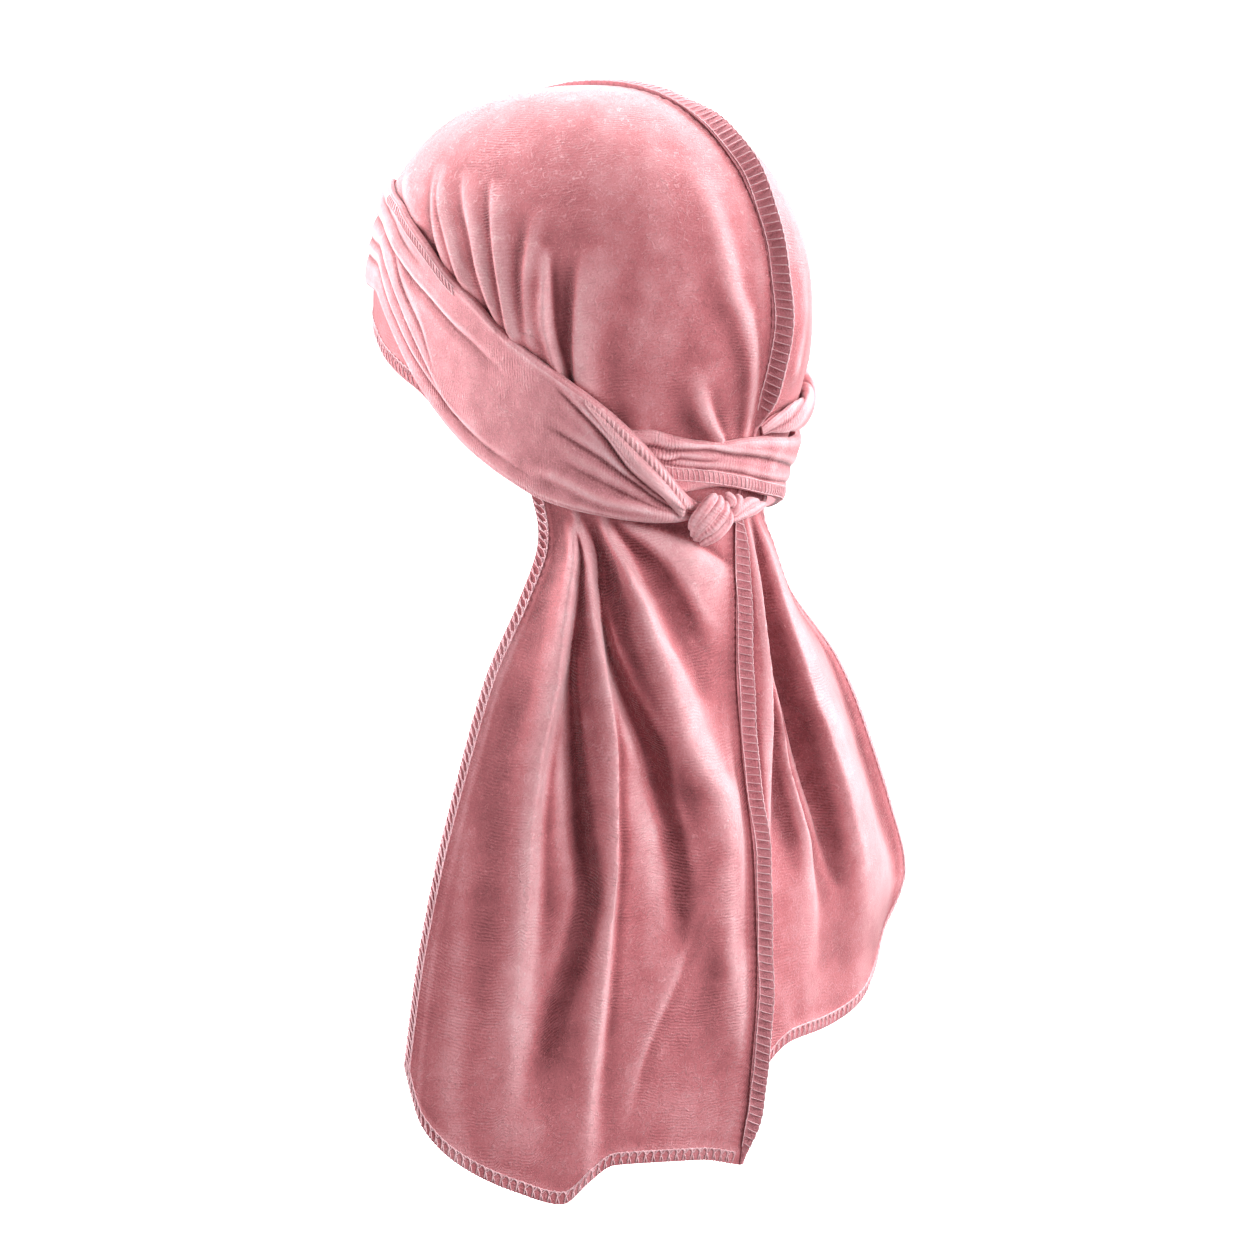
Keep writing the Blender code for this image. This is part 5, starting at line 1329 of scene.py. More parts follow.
@dataclass
class Band:
    """A tie lying round the head as a folded band: a strip between two edges, with creases running along it."""

    name: str
    node: str
    tie: Table
    creases: tuple[Table, ...]
    stops: tuple[tuple[float, float, int], ...]
    seed: int
    across_steps: int = 84
    inside_steps: int = 12
    round_edge: float = 3.2
    grid: Array | None = None

    def width(self, azimuth: Array) -> Array:
        """Width of the band on the form, in millimetres, by its drop from top edge to bottom edge."""
        return self.tie.at("top", azimuth) - self.tie.at("bottom", azimuth)

    def lift(self, azimuth: Array, across: Array) -> Array:
        """Height of the outer face off the form, in metres.

        Args:
            azimuth: degrees.
            across: share of the width from the top edge.

        Returns:
            Inner lift, plus the thickness rounded off like a quarter circle at both edges, less the creases.
        """
        azimuth, across = np.broadcast_arrays(azimuth, across)
        width = self.width(azimuth)
        edge = np.minimum(across, 1 - across) * width
        rounded = np.sqrt(np.clip(1 - (1 - np.clip(edge / self.round_edge, 0, 1)) ** 2, 0, 1))
        total = self.tie.at("thick", azimuth) * (0.22 + 0.78 * rounded)
        for table in self.creases:
            ends = smoothstep((azimuth - table.key[0]) / 3 + 1) * smoothstep((table.key[-1] - azimuth) / 3 + 1)
            away = (across - table.at("share", azimuth)) * width
            depth = table.at("depth", azimuth) * ends
            above, below = table.at("above", azimuth), table.at("below", azimuth)
            trough = np.where(depth > 0, crease(away, above, below), hump(away, above, below))
            shoulder = hump(away + 1.6 * above, 1.2 * above, 1.2 * above) * np.clip(depth, 0, None) * 0.35
            total = total - depth * trough + shoulder
        return (self.tie.at("inner", azimuth) + np.maximum(total, 0.35)) * MM

    def surface(self, azimuth: Array, across: Array, lift: Array) -> Array:
        """Points a given height above the band's outer face."""
        top, bottom = self.tie.at("top", azimuth) * MM, self.tie.at("bottom", azimuth) * MM
        z = top + (bottom - top) * across
        base = FORM.point(azimuth, z, 0.004)
        dents = 0.28 * MM * swell(base, 0.013, self.seed) + 0.12 * MM * swell(base, 0.005, self.seed + 1)
        return FORM.point(azimuth, z, self.lift(azimuth, across) + dents + lift)

    def build(self, material: bpy.types.Material) -> bpy.types.Object:
        """Builds the band as a closed tube whose section goes over the outer face and back along the inner one."""
        azimuth = spread(self.stops)[:, None]
        even = np.linspace(0, 1, self.across_steps)
        across = (0.55 * even + 0.45 * (0.5 - 0.5 * np.cos(math.pi * even)))[None, :]
        outer = self.surface(azimuth, across, 0.0)
        back = np.linspace(1, 0, self.inside_steps)[None, :]
        top, bottom = self.tie.at("top", azimuth) * MM, self.tie.at("bottom", azimuth) * MM
        inner = FORM.point(azimuth, top + (bottom - top) * back, self.tie.at("inner", azimuth) * MM)
        rings = np.concatenate([outer, inner], axis=1)
        self.grid = outer
        centre = np.array([0.0, 0.0, -0.09])
        # Crest weight: painted highlight on the band's crests and painted shade in its creases; none on the inner face.
        crest = crests(outer, outer - centre, {2: 1.0, 6: 0.9})
        crest = np.concatenate([crest, np.zeros((len(crest), self.inside_steps))], axis=1)
        along = np.cumsum(np.linalg.norm(np.diff(outer[:, 40], axis=0, prepend=outer[:1, 40]), axis=-1))[:, None]
        broad = np.concatenate([across, back], axis=1) * self.width(azimuth) * MM
        ribs = np.clip(0.5 + 0.4 * swell(rings, 0.025, self.seed + 2), 0, 1)
        skin = Skin()
        cloth = np.stack(np.broadcast_arrays(broad, along), axis=-1)
        skin.tube(rings, cloth, crest=crest, ribs=ribs, plush=0.6)
        return settle(skin.build(self.name, material), "velvet_ties", self.node)


@dataclass
class Turnover:
    """Edge of the left tie turned over on itself: a puckered strip of the reverse side beside a smooth roll."""

    band: Band
    gap: float = 0.3 * MM
    steps: int = 150
    section: int = 26
    roll_share: float = 0.62
    pitch: float = 2.6 * MM

    def build(self, material: bpy.types.Material) -> bpy.types.Object:
        """Builds the lip as a closed tube along the band: a quarter of its width puckered, the rest a round roll."""
        azimuth = np.linspace(TURNOVER.key[0], TURNOVER.key[-1], self.steps)[:, None]
        upper, lower = TURNOVER.at("upper", azimuth) * MM, TURNOVER.at("lower", azimuth) * MM
        share = np.linspace(0, 1, self.section)[None, :]
        thick = TURNOVER.at("thick", azimuth) * MM
        tie = self.band.tie
        top, bottom = tie.at("top", azimuth) * MM, tie.at("bottom", azimuth) * MM

        def lifted(part: Array, height: Array) -> Array:
            """Points of the lip at a share of its width and a height off the band."""
            z = upper + (lower - upper) * part
            ground = self.band.lift(azimuth, np.clip((z - top) / (bottom - top), 0, 1))
            return FORM.point(azimuth, z, ground + self.gap + height)

        middle = lifted(np.array([[0.5]]), 0.0)[:, 0]
        along = np.cumsum(np.linalg.norm(np.diff(middle, axis=0, prepend=middle[:1]), axis=-1))[:, None]
        strip = np.clip(share / (1 - self.roll_share), 0, 1)
        roll = np.clip((share - (1 - self.roll_share)) / self.roll_share, 0, 1)
        ripple = 0.5 + 0.5 * np.cos(2 * math.pi * along / self.pitch)
        ends = smoothstep(along / 0.004) * smoothstep((along[-1] - along) / 0.003)
        puckered = thick * (0.30 + 0.24 * ripple * np.sin(math.pi * strip) ** 0.6)
        rounded = thick * (0.25 + 0.95 * np.sqrt(np.clip(1 - (2 * roll - 1) ** 2, 0, 1)))
        height = np.where(share < 1 - self.roll_share, puckered, np.maximum(rounded, 0.2 * thick)) * (0.2 + 0.8 * ends)
        over = lifted(share, height)
        under = lifted(share[:, ::-1], 0.0)
        rings = np.concatenate([over, under], axis=1)
        # Crest weight: painted light and shade across the puckers, and a painted highlight along the middle of the roll
        # with painted shade at its sides; none underneath.
        crest = np.where(share < 1 - self.roll_share, ripple * 0.8 - 0.3, 0.45 - 0.6 * np.abs(2 * roll - 1))
        crest = np.concatenate([crest, 0 * crest], axis=1)
        skin = Skin()
        cloth = np.stack(np.broadcast_arrays(np.concatenate([share, share[:, ::-1]], axis=1) * 0.01, along), axis=-1)
        skin.tube(rings, cloth, crest=crest, ribs=0.5, plush=0.4)
        return settle(skin.build("turned_edge", material), "reverse_side", "tie_left_turnover")


@dataclass
class Twist:
    """Right tie twisted into a rope: three strands, each with finer folds that turn with it."""

    turns: float = 2.6
    strands: int = 3
    groove: float = 0.27
    fine: float = 0.045
    steps: int = 300
    around: int = 66

    def build(self, material: bpy.types.Material) -> bpy.types.Object:
        """Builds the rope: an oval section scaled by the size of a cosine, with one arch for each strand."""
        azimuth = np.linspace(TWIST.key[0], TWIST.key[-1], self.steps)
        z, lift = TWIST.at("z", azimuth) * MM, TWIST.at("lift", azimuth) * MM
        line = FORM.point(azimuth, z, lift)
        out = unit(FORM.point(azimuth, z, lift + MM) - line)
        along = unit(np.gradient(line, axis=0))
        side = np.cross(along, out)
        run = np.concatenate([[0], np.cumsum(np.linalg.norm(np.diff(line, axis=0), axis=1))])
        turned = 2 * math.pi * self.turns * run / run[-1]
        angle = np.linspace(0, 2 * math.pi, self.around, endpoint=False)[None, :]
        phase = angle + turned[:, None]
        arch = np.abs(np.cos(self.strands * phase / 2))
        folds = np.abs(np.cos(self.strands * 3 * phase / 2 + 0.8 * np.sin(2 * phase) + 3 * run[:, None] / run[-1]))
        size = 1 + 0.06 - self.groove * (1 - arch**0.6) + self.fine * (folds**0.7 - 0.6)
        thick = TWIST.at("half_thick", azimuth)[:, None] * MM * size
        wide = TWIST.at("half_width", azimuth)[:, None] * MM * size
        rings = (
            line[:, None]
            + out[:, None] * (thick * np.cos(angle))[..., None]
            + side[:, None] * (wide * np.sin(angle))[..., None]
        )
        # Crest weight: painted highlight on each strand's arch and painted shade in the grooves between strands.
        crest = np.clip(arch**0.6 * 1.7 - 1.0 + 0.4 * (folds - 0.6), -1, 1)
        skin = Skin()
        cloth = np.stack(np.broadcast_arrays(angle * 0.006, run[:, None]), axis=-1)
        skin.tube(rings, cloth, crest=crest, ribs=0.6, plush=0.5)
        return settle(skin.build("twisted_tie", material), "velvet_ties", "tie_right_twist")


@dataclass
class Knot:
    """Knot of the two ties: rolls of cloth wrapped over each other, a loop, and a short tail."""

    strands: tuple[Table, ...]
    steps: int = 60
    around: int = 32
    pleats: int = 5
    depth: float = 0.085
    swelling: float = 1.12

    def strand(self, skin: Skin, table: Table, seed: int) -> None:
        """Adds one roll: a circle swept along its centre line, pleated by a cosine round it that turns a little."""
        order = np.linspace(0, table.key[-1], self.steps)
        line = FORM.point(table.at("azimuth", order), table.at("z", order) * MM, table.at("lift", order) * MM)
        above = FORM.point(table.at("azimuth", order), table.at("z", order) * MM, table.at("lift", order) * MM + MM)
        along = unit(np.gradient(line, axis=0))
        out = unit(above - line)
        side = unit(np.cross(along, out))
        out = np.cross(side, along)
        run = np.concatenate([[0], np.cumsum(np.linalg.norm(np.diff(line, axis=0), axis=1))])
        angle = np.linspace(0, 2 * math.pi, self.around, endpoint=False)[None, :]
        phase = self.pleats * angle / 2 + run[:, None] / 0.009 + seed
        arch = np.abs(np.cos(phase)) ** 0.7
        ends = np.sqrt(np.clip(1 - (2 * order / table.key[-1] - 1) ** 12, 0.02, 1))[:, None]
        size = table.at("radius", order)[:, None] * MM * self.swelling * (1.04 - self.depth * (1 - arch)) * ends
        rings = (
            line[:, None]
            + out[:, None] * (size * np.cos(angle))[..., None]
            + side[:, None] * (size * np.sin(angle))[..., None]
        )
        cloth = np.stack(np.broadcast_arrays(angle * 0.003, run[:, None]), axis=-1)
        # Crest weight: painted highlight on the pleats' ridges and painted shade in their grooves.
        skin.tube(rings, cloth, crest=arch * 0.8 - 0.25, ribs=0.6, plush=0.5)

    def build(self, material: bpy.types.Material) -> bpy.types.Object:
        """Builds all the rolls as one piece."""
        skin = Skin()
        for seed, table in enumerate(self.strands):
            self.strand(skin, table, seed)
        return settle(skin.build("knotted_ties", material), "velvet_ties", "knot")


class Border(Enum):
    """Border of a cloth grid that a thread runs along."""

    HEM = "hem"
    EDGE = "edge"


class ClothBorder:
    """Border of a cloth wall, as a surface that goes round it from its outer face to its inner one."""

    def __init__(self, outer: Array, inner: Array, border: Border) -> None:
        """Turns the grids so that rows count inwards from the border, and measures them.

        Args:
            outer: the outer face's points.
            inner: the inner face's points.
            border: the border to follow.
        """
        if border is Border.HEM:
            outer, inner = outer[::-1], inner[::-1]
        else:
            outer, inner = outer.transpose(1, 0, 2)[::-1], inner.transpose(1, 0, 2)[::-1]
        self.middle, self.half = (outer + inner) / 2, (outer - inner) / 2
        steps = np.linalg.norm(np.diff(self.middle[0], axis=0), axis=-1)
        self.along = np.concatenate([[0], np.cumsum(steps)])
        self.pitch = np.linalg.norm(self.middle[1] - self.middle[0], axis=-1)
        self.length = float(self.along[-1])

    def surface(self, along: Array, inward: Array, lift: Array) -> Array:
        """Points round the border.

        Args:
            along: metres along it.
            inward: metres in from it, positive on the outer face and negative on the inner one.
            lift: metres off the cloth.

        Returns:
            Points beside the cloth's middle surface, joined round the border by half a circle.
        """
        along, inward, lift = np.broadcast_arrays(along, inward, lift)
        column = np.interp(along, self.along, np.arange(len(self.along)))
        pitch = np.interp(along, self.along, self.pitch)
        thick = CLOTH / 2
        down = np.maximum(np.abs(inward), thick)
        middle = pick(self.middle, down / pitch, column)
        further = pick(self.middle, (down + thick) / pitch, column)
        normal = pick(self.half, down / pitch, column)
        off = np.maximum(np.linalg.norm(normal, axis=-1, keepdims=True), thick * 0.8)
        normal = unit(normal) * np.sign(inward + 1e-12)[..., None]
        turn = (np.minimum(np.abs(inward) / thick, 1) * math.pi / 2)[..., None]
        lift = lift[..., None]
        return middle + (off + lift) * np.sin(turn) * normal - (thick + lift) * np.cos(turn) * unit(further - middle)


@dataclass
class Yarn:
    """Sewing threads laid on surfaces and gathered into one piece."""

    name: str
    radius: float = 0.24 * MM
    sides: int = 5
    bow: float = 0.35 * MM
    slack: float = 0.22 * MM
    skin: Skin = field(default_factory=Skin)

    def lay(self, place: Place, along: Array, inward: Array, lift: Array) -> None:
        """Adds a thread for each row of stations: a small ring swept along it.

        Args:
            place: the surface.
            along: metres along it, a row for each thread.
            inward: metres in from its edge.
            lift: metres off it.
        """
        along, inward, lift = np.broadcast_arrays(along, inward, lift)
        points = place(along, inward, lift)
        normal = place(along, inward, lift + 0.3 * MM) - points
        forward = unit(np.gradient(points, axis=-2))
        across = unit(np.cross(forward, normal))
        normal = np.cross(across, forward)
        angle = np.linspace(0, 2 * math.pi, self.sides, endpoint=False)[:, None]
        ring = normal[..., None, :] * np.cos(angle) + across[..., None, :] * np.sin(angle)
        self.skin.tube(points[..., None, :] + self.radius * ring, crest=0.0, ribs=0.0, plush=0.0)

    def rungs(
        self, place: Place, starts: Array, near: Array | float, far: Array | float, slant: float, points: int = 13
    ) -> None:
        """Stitches that cross a strip, each a little bowed and dipping into the cloth at both ends.

        Args:
            place: the surface.
            starts: metres along it at the middle of each stitch.
            near: metres in from the edge where a stitch starts.
            far: where it ends, negative on the other face.
            slant: how far along the edge it leans on its way.
            points: stations on each stitch.
        """
        share = np.linspace(-1, 1, points)[None, :]
        slack = np.random.default_rng(len(starts)).uniform(-1, 1, (4, len(starts), 1))
        near, far = (np.broadcast_to(end, starts.shape)[:, None] for end in (near, far))
        near, far = near + self.slack * slack[0], far + self.slack * slack[1]
        inward = near + (far - near) * (share + 1) / 2
        lean = (slant + self.slack * slack[2]) * share / 2 + (self.bow + 0.5 * self.slack * slack[3]) * (1 - share**2)
        self.lay(place, starts[:, None] + lean, inward, self.radius * (0.75 - 1.6 * np.abs(share) ** 10))

    def line(self, place: Place, start: float, end: float, inward: float, pitch: float, depth: float) -> None:
        """One running thread that dips into the cloth at each stitch."""
        along = np.arange(start, end, pitch / 5)[None, :]
        dip = np.abs(np.sin(math.pi * along / pitch)) ** 0.5
        self.lay(place, along, np.full_like(along, inward), self.radius * (0.9 - depth * (1 - dip)))

    def scallops(self, place: Place, start: float, end: float, near: float, far: float, pitch: float) -> None:
        """One looping thread: arcs from one row of stitches to the next, bulging inwards."""
        along = np.arange(start, end, pitch / 8)[None, :]
        arch = np.abs(np.sin(math.pi * along / pitch))
        self.lay(place, along, near + (far - near) * arch, self.radius * (0.5 + 0.6 * arch))

    def build(self, material: bpy.types.Material, slot: str) -> bpy.types.Object:
        """Builds the threads as one piece."""
        return settle(self.skin.build(self.name, material), slot)


class Shade:
    """Output of a shader node, on which sums, products and steps add more nodes."""

    def __init__(self, finish: "Finish", socket: bpy.types.NodeSocket) -> None:
        """Keeps the finish that the node is in, and its socket."""
        self.finish = finish
        self.socket = socket

    def maths(self, operation: str, *others: "Shade | float", first: bool = True) -> "Shade":
        """Math node on this value and others; first tells whether this value comes first."""
        values = [self, *others] if first else [*others, self]
        return self.finish.add("ShaderNodeMath", {"operation": operation}, dict(enumerate(values)))

    def __add__(self, other: "Shade | float") -> "Shade":
        """This value plus another."""
        return self.maths("ADD", other)

    __radd__ = __add__

    def __mul__(self, other: "Shade | float") -> "Shade":
        """This value times another."""
        return self.maths("MULTIPLY", other)

    __rmul__ = __mul__

    def __sub__(self, other: "Shade | float") -> "Shade":
        """This value less another."""
        return self.maths("SUBTRACT", other)

    def __rsub__(self, other: float) -> "Shade":
        """A number less this value."""
        return self.maths("SUBTRACT", other, first=False)

    def __abs__(self) -> "Shade":
        """Size of this value."""
        return self.maths("ABSOLUTE")

    def step(self, low: float, high: float) -> "Shade":
        """Soft step from 0 at low to 1 at high."""
        sockets = {"Value": self, "From Min": low, "From Max": high}
        return self.finish.add("ShaderNodeMapRange", {"interpolation_type": "SMOOTHSTEP"}, sockets)

    def moved(self, operation: str, other: "Shade | tuple | float") -> "Shade":
        """Vector Math node on this vector and another, or a scale."""
        key = "Scale" if operation == "SCALE" else 1
        return self.finish.add("ShaderNodeVectorMath", {"operation": operation}, {0: self, key: other})


class Finish:
    """Node tree of one material."""

    def __init__(self, name: str) -> None:
        """Starts from a plain Principled shader."""
        self.material = bpy.data.materials.new(name)
        self.material.use_nodes = True
        self.tree = self.material.node_tree
        self.shader = self.tree.nodes["Principled BSDF"]

    def add(
        self, kind: str, settings: dict | None = None, sockets: dict | None = None, out: int | str = 0
    ) -> Shade:
        """Adds a node.

        Args:
            kind: the node's type.
            settings: its properties, and for a ramp its stops as (place, colour).
            sockets: values or links of its inputs, by name or number.
            out: the output wanted.

        Returns:
            That output.
        """
        node = self.tree.nodes.new(kind)
        for name, value in (settings or {}).items():
            if name == "stops":
                elements = node.color_ramp.elements
                for stop, (place, colour) in ((elements[0], value[0]), (elements[1], value[-1])):
                    stop.position, stop.color = place, (*colour, 1)
                for place, colour in value[1:-1]:
                    elements.new(place).color = (*colour, 1)
            else:
                setattr(node, name, value)
        for name, value in (sockets or {}).items():
            self.feed(node.inputs[name], value)
        return Shade(self, node.outputs[out])

    def feed(self, socket: bpy.types.NodeSocket, value: "Shade | float | tuple") -> None:
        """Links a socket to a node's output, or sets its value."""
        if isinstance(value, Shade):
            self.tree.links.new(value.socket, socket)
        else:
            socket.default_value = value

    def noise(self, place: Shade, scale: float, detail: float = 2.0, out: str = "Fac", twirl: float = 0.0) -> Shade:
        """Noise at a scale in cells a metre."""
        sockets = {"Vector": place, "Scale": scale, "Detail": detail, "Distortion": twirl}
        return self.add("ShaderNodeTexNoise", {}, sockets, out)

    def weight(self, name: str) -> Shade:
        """Weight painted on the piece."""
        return self.add("ShaderNodeAttribute", {"attribute_name": name}, {}, "Fac")

    def set(self, **sockets: "Shade | float | tuple") -> None:
        """Sets or links the Principled shader's sockets, with _ for a blank in their names."""
        for name, value in sockets.items():
            self.feed(self.shader.inputs[name.replace("_", " ")], value)

    def bump(self, height: Shade, distance: float, strength: float = 1.0) -> Shade:
        """Normal bent by a height in metres times distance."""
        return self.add("ShaderNodeBump", {}, {"Height": height, "Distance": distance, "Strength": strength}, "Normal")


@dataclass(frozen=True)
class Velvet:
    """Stretch velvet: short pile that lies in swirls over a fine ribbed knit, with painted shade in its hollows and a
    painted highlight on crests.
    """

    name: str
    # Lightness ramp: painted shade in valleys pushes towards the deep colour, and a painted highlight on crests towards
    # the bright one.
    deep: Colour = (0.16, 0.030, 0.038)
    middle: Colour = (0.50, 0.150, 0.170)
    light: Colour = (0.72, 0.345, 0.375)
    bright: Colour = (0.88, 0.60, 0.63)
    fibres: float = 1.0
    ribs: float = 1.0
    rib_pitch: float = 1.3 * MM
    roughness: float = 0.82
    sheen: float = 0.65

    def curls(self, finish: Finish, place: Shade, scale: float, width: float, cut: float) -> Shade:
        """Short curled fibre marks: where distorted noise crosses its middle value, broken up by another noise."""
        noise = finish.noise(place, scale, 1.0, twirl=0.6)
        line = 1 - abs(noise - 0.5).step(0.0, width)
        return line * finish.noise(place, scale * 1.7, 1.0).step(cut, cut + 0.12)

    def material(self) -> bpy.types.Material:
        """Builds the material: mottling, curled fibres, ribs, specks and the painted shade and highlight of the crest
        weight mixed into one lightness, and a fine bump.
        """
        finish = Finish(self.name)
        place = finish.add("ShaderNodeTexCoord", out="Object")
        crest, stretch, plush = finish.weight("crest"), finish.weight("ribs"), finish.weight("plush")
        stray = finish.noise(place, 130, 2, "Color").moved("SUBTRACT", (0.5, 0.5, 0.5)).moved("SCALE", 0.006)
        warped = place.moved("ADD", stray)
        curled = self.curls(finish, warped, 280, 0.022, 0.38) + self.curls(finish, warped, 430, 0.026, 0.42) * 0.8
        cloud = finish.noise(place, 26, 3) - 0.5
        patch = finish.noise(warped, 110, 2) - 0.5
        grain = finish.noise(place, 1500, 2) - 0.5
        speck = finish.noise(place, 900, 1).step(0.66, 0.74)
        cloth = finish.add("ShaderNodeUVMap", {"uv_map": "cloth"})
        row = finish.add("ShaderNodeSeparateXYZ", {}, {0: cloth}, "Y")
        waver = finish.noise(place, 70, 2) * 3.0 + finish.noise(place, 420, 1) * 0.9
        wave = (row * (2 * math.pi / self.rib_pitch) + waver * (2 * math.pi)).maths("SINE")
        shown = stretch * finish.noise(place, 60, 2).step(0.38, 0.62)
        rib = wave * shown * self.ribs
        # The crest weight paints shade in valleys and a highlight on crests; the fibre weight paints a highlight on the
        # top of the cap through the pale fibre marks.
        lightness = (
            0.42 + crest * 0.32 + cloud * 0.16 + patch * 0.26 + grain * 0.30
            + curled * plush * (0.28 * self.fibres) + speck * 0.10 + rib * 0.07
        )
        stops = ((0.0, self.deep), (0.40, self.middle), (0.72, self.light), (1.0, self.bright))
        colour = finish.add("ShaderNodeValToRGB", {"stops": stops}, {0: lightness}, "Color")
        height = curled * 0.5 + grain * 0.8 + patch * 1.2 + rib * 0.55
        finish.set(
            Base_Color=colour,
            Roughness=self.roughness - curled * 0.08 + grain * 0.1,
            Normal=finish.bump(height, 0.00022),
            Metallic=0.0,
            Sheen_Weight=self.sheen,
            Sheen_Roughness=0.38,
            Sheen_Tint=(1.0, 0.83, 0.86, 1.0),
            Specular_IOR_Level=0.25,
        )
        return finish.material


@dataclass(frozen=True)
class Thread:
    """Spun sewing thread, lighter than the velvet, with the lay of its plies."""

    name: str = "sewing_thread"
    dark: Colour = (0.54, 0.22, 0.25)
    light: Colour = (0.88, 0.57, 0.61)
    roughness: float = 0.6

    def material(self) -> bpy.types.Material:
        """Builds the material: light and dark plies from stretched noise, and a fine bump."""
        finish = Finish(self.name)
        place = finish.add("ShaderNodeTexCoord", out="Object")
        ply = finish.noise(place, 2600, 1)
        tone = finish.noise(place, 120, 2)
        stops = ((0.25, self.dark), (0.72, self.light))
        colour = finish.add("ShaderNodeValToRGB", {"stops": stops}, {0: ply * 0.6 + tone * 0.5 + 0.02}, "Color")
        finish.set(
            Base_Color=colour,
            Roughness=self.roughness + ply * 0.2,
            Normal=finish.bump(ply, 0.0001),
            Sheen_Weight=0.4,
            Sheen_Roughness=0.4,
            Sheen_Tint=(1.0, 0.88, 0.9, 1.0),
        )
        return finish.material


@dataclass(frozen=True)
class Softbox:
    """Square light, placed from the object's middle by its azimuth, elevation and distance."""

    name: str
    azimuth: float
    elevation: float
    distance: float
    size: float
    power: float
    colour: Colour = (1.0, 1.0, 1.0)


@dataclass
class Studio:
    """Plain pale floor and backdrop, soft lights and the camera."""

    target: tuple[float, float, float] = (-0.0100, 0.0111, -0.2155)
    azimuth: float = 132.0
    elevation: float = 5.0
    distance: float = 1.6
    lens: float = 113.4545
    sensor: float = 36.0
    floor: float = -0.62
    floor_radius: float = 2.4
    wall_rise: float = 3.2
    lights: tuple[Softbox, ...] = (
        Softbox("key", 26, 14, 1.5, 0.9, 56.0),
        Softbox("side", 60, -6, 1.5, 0.9, 15.0),
        Softbox("camera_side", 132, 20, 1.5, 0.9, 2.5),
        Softbox("low", 150, -20, 1.5, 0.9, 5.0),
        Softbox("right", 188, 16, 1.5, 0.9, 25.0),
        Softbox("back", 243, 23, 1.5, 0.9, 34.0),
        Softbox("top", 300, 70, 1.5, 0.9, 42.0),
    )

    def outward(self, azimuth: float, elevation: float) -> Vector:
        """Direction from the object at an azimuth from the forehead's side and an elevation."""
        turn, rise = math.radians(azimuth), math.radians(elevation)
        return Vector((math.sin(turn) * math.cos(rise), -math.cos(turn) * math.cos(rise), math.sin(rise)))

    def aim(self, thing: bpy.types.Object, azimuth: float, elevation: float, distance: float) -> None:
        """Puts a light or camera at a place round the target and turns it there."""
        outward = self.outward(azimuth, elevation)
        thing.location = Vector(self.target) + outward * distance
        thing.rotation_euler = outward.to_track_quat("Z", "Y").to_euler()
        bpy.context.scene.collection.objects.link(thing)

    def backdrop(self) -> bpy.types.Object:
        """Builds the floor and the wall round it: a flat disc that turns up into a wall by a quarter circle."""
        bend = 1.0
        turn = np.linspace(0, math.pi / 2, 24)
        radius = np.concatenate([[0.0], self.floor_radius - bend + bend * np.sin(turn), [self.floor_radius]])
        height = np.concatenate([[0.0], bend - bend * np.cos(turn), [self.wall_rise]]) + self.floor
        angle = np.linspace(0, 2 * math.pi, 96, endpoint=False)[None, :]
        rings = np.stack(
            np.broadcast_arrays(radius[:, None] * np.sin(angle), radius[:, None] * np.cos(angle), height[:, None]),
            axis=-1,
        )
        skin = Skin()
        index = skin.grid(rings)
        index[0] = index[0, 0]
        skin.cover(index, wrapped=True, turned=True)
        finish = Finish("pale_paper")
        finish.set(Base_Color=(0.93, 0.93, 0.93, 1), Roughness=0.9, Emission_Color=(1, 1, 1, 1), Emission_Strength=0.983)
        floor = skin.build("floor", finish.material)
        floor.visible_diffuse = False
        floor.visible_glossy = False
        return floor

    def build(self) -> None:
        """Builds the backdrop, the lights, the sky and the camera."""
        self.backdrop()
        for light in self.lights:
            lamp = bpy.data.lights.new(light.name, "AREA")
            lamp.shape, lamp.size = "SQUARE", light.size
            lamp.energy, lamp.color = light.power, light.colour
            self.aim(bpy.data.objects.new(light.name, lamp), light.azimuth, light.elevation, light.distance)
        world = bpy.data.worlds.new("room")
        world.use_nodes = True
        sky = world.node_tree.nodes["Background"]
        sky.inputs["Color"].default_value = (1.0, 0.985, 0.975, 1)
        sky.inputs["Strength"].default_value = 0.04
        bpy.context.scene.world = world
        bpy.context.scene.view_settings.view_transform = "Standard"
        camera = bpy.data.cameras.new("camera")
        camera.lens, camera.sensor_width = self.lens, self.sensor
        camera.clip_start, camera.clip_end = 0.05, 20
        eye = bpy.data.objects.new("camera", camera)
        self.aim(eye, self.azimuth, self.elevation, self.distance)
        bpy.context.scene.camera = eye


@dataclass
class BandTrack:
    """Strip along a band for threads to lie on: metres along it, metres below its upper line, metres off the cloth."""

    band: Band
    line: Table

    def __post_init__(self) -> None:
        """Measures the strip's upper line."""
        self.azimuth = np.linspace(self.line.key[0], self.line.key[-1], 160)
        points = self.band.surface(self.azimuth, self.line.at("share", self.azimuth), 0.0)
        steps = np.linalg.norm(np.diff(points, axis=0), axis=-1)
        self.run = np.concatenate([[0], np.cumsum(steps)])

    def surface(self, along: Array, inward: Array, lift: Array) -> Array:
        """Points on the band's outer face."""
        azimuth = np.interp(along, self.run, self.azimuth)
        share = self.line.at("share", azimuth) + inward / (self.band.width(azimuth) * MM)
        return self.band.surface(azimuth, np.clip(share, 0, 1), lift)


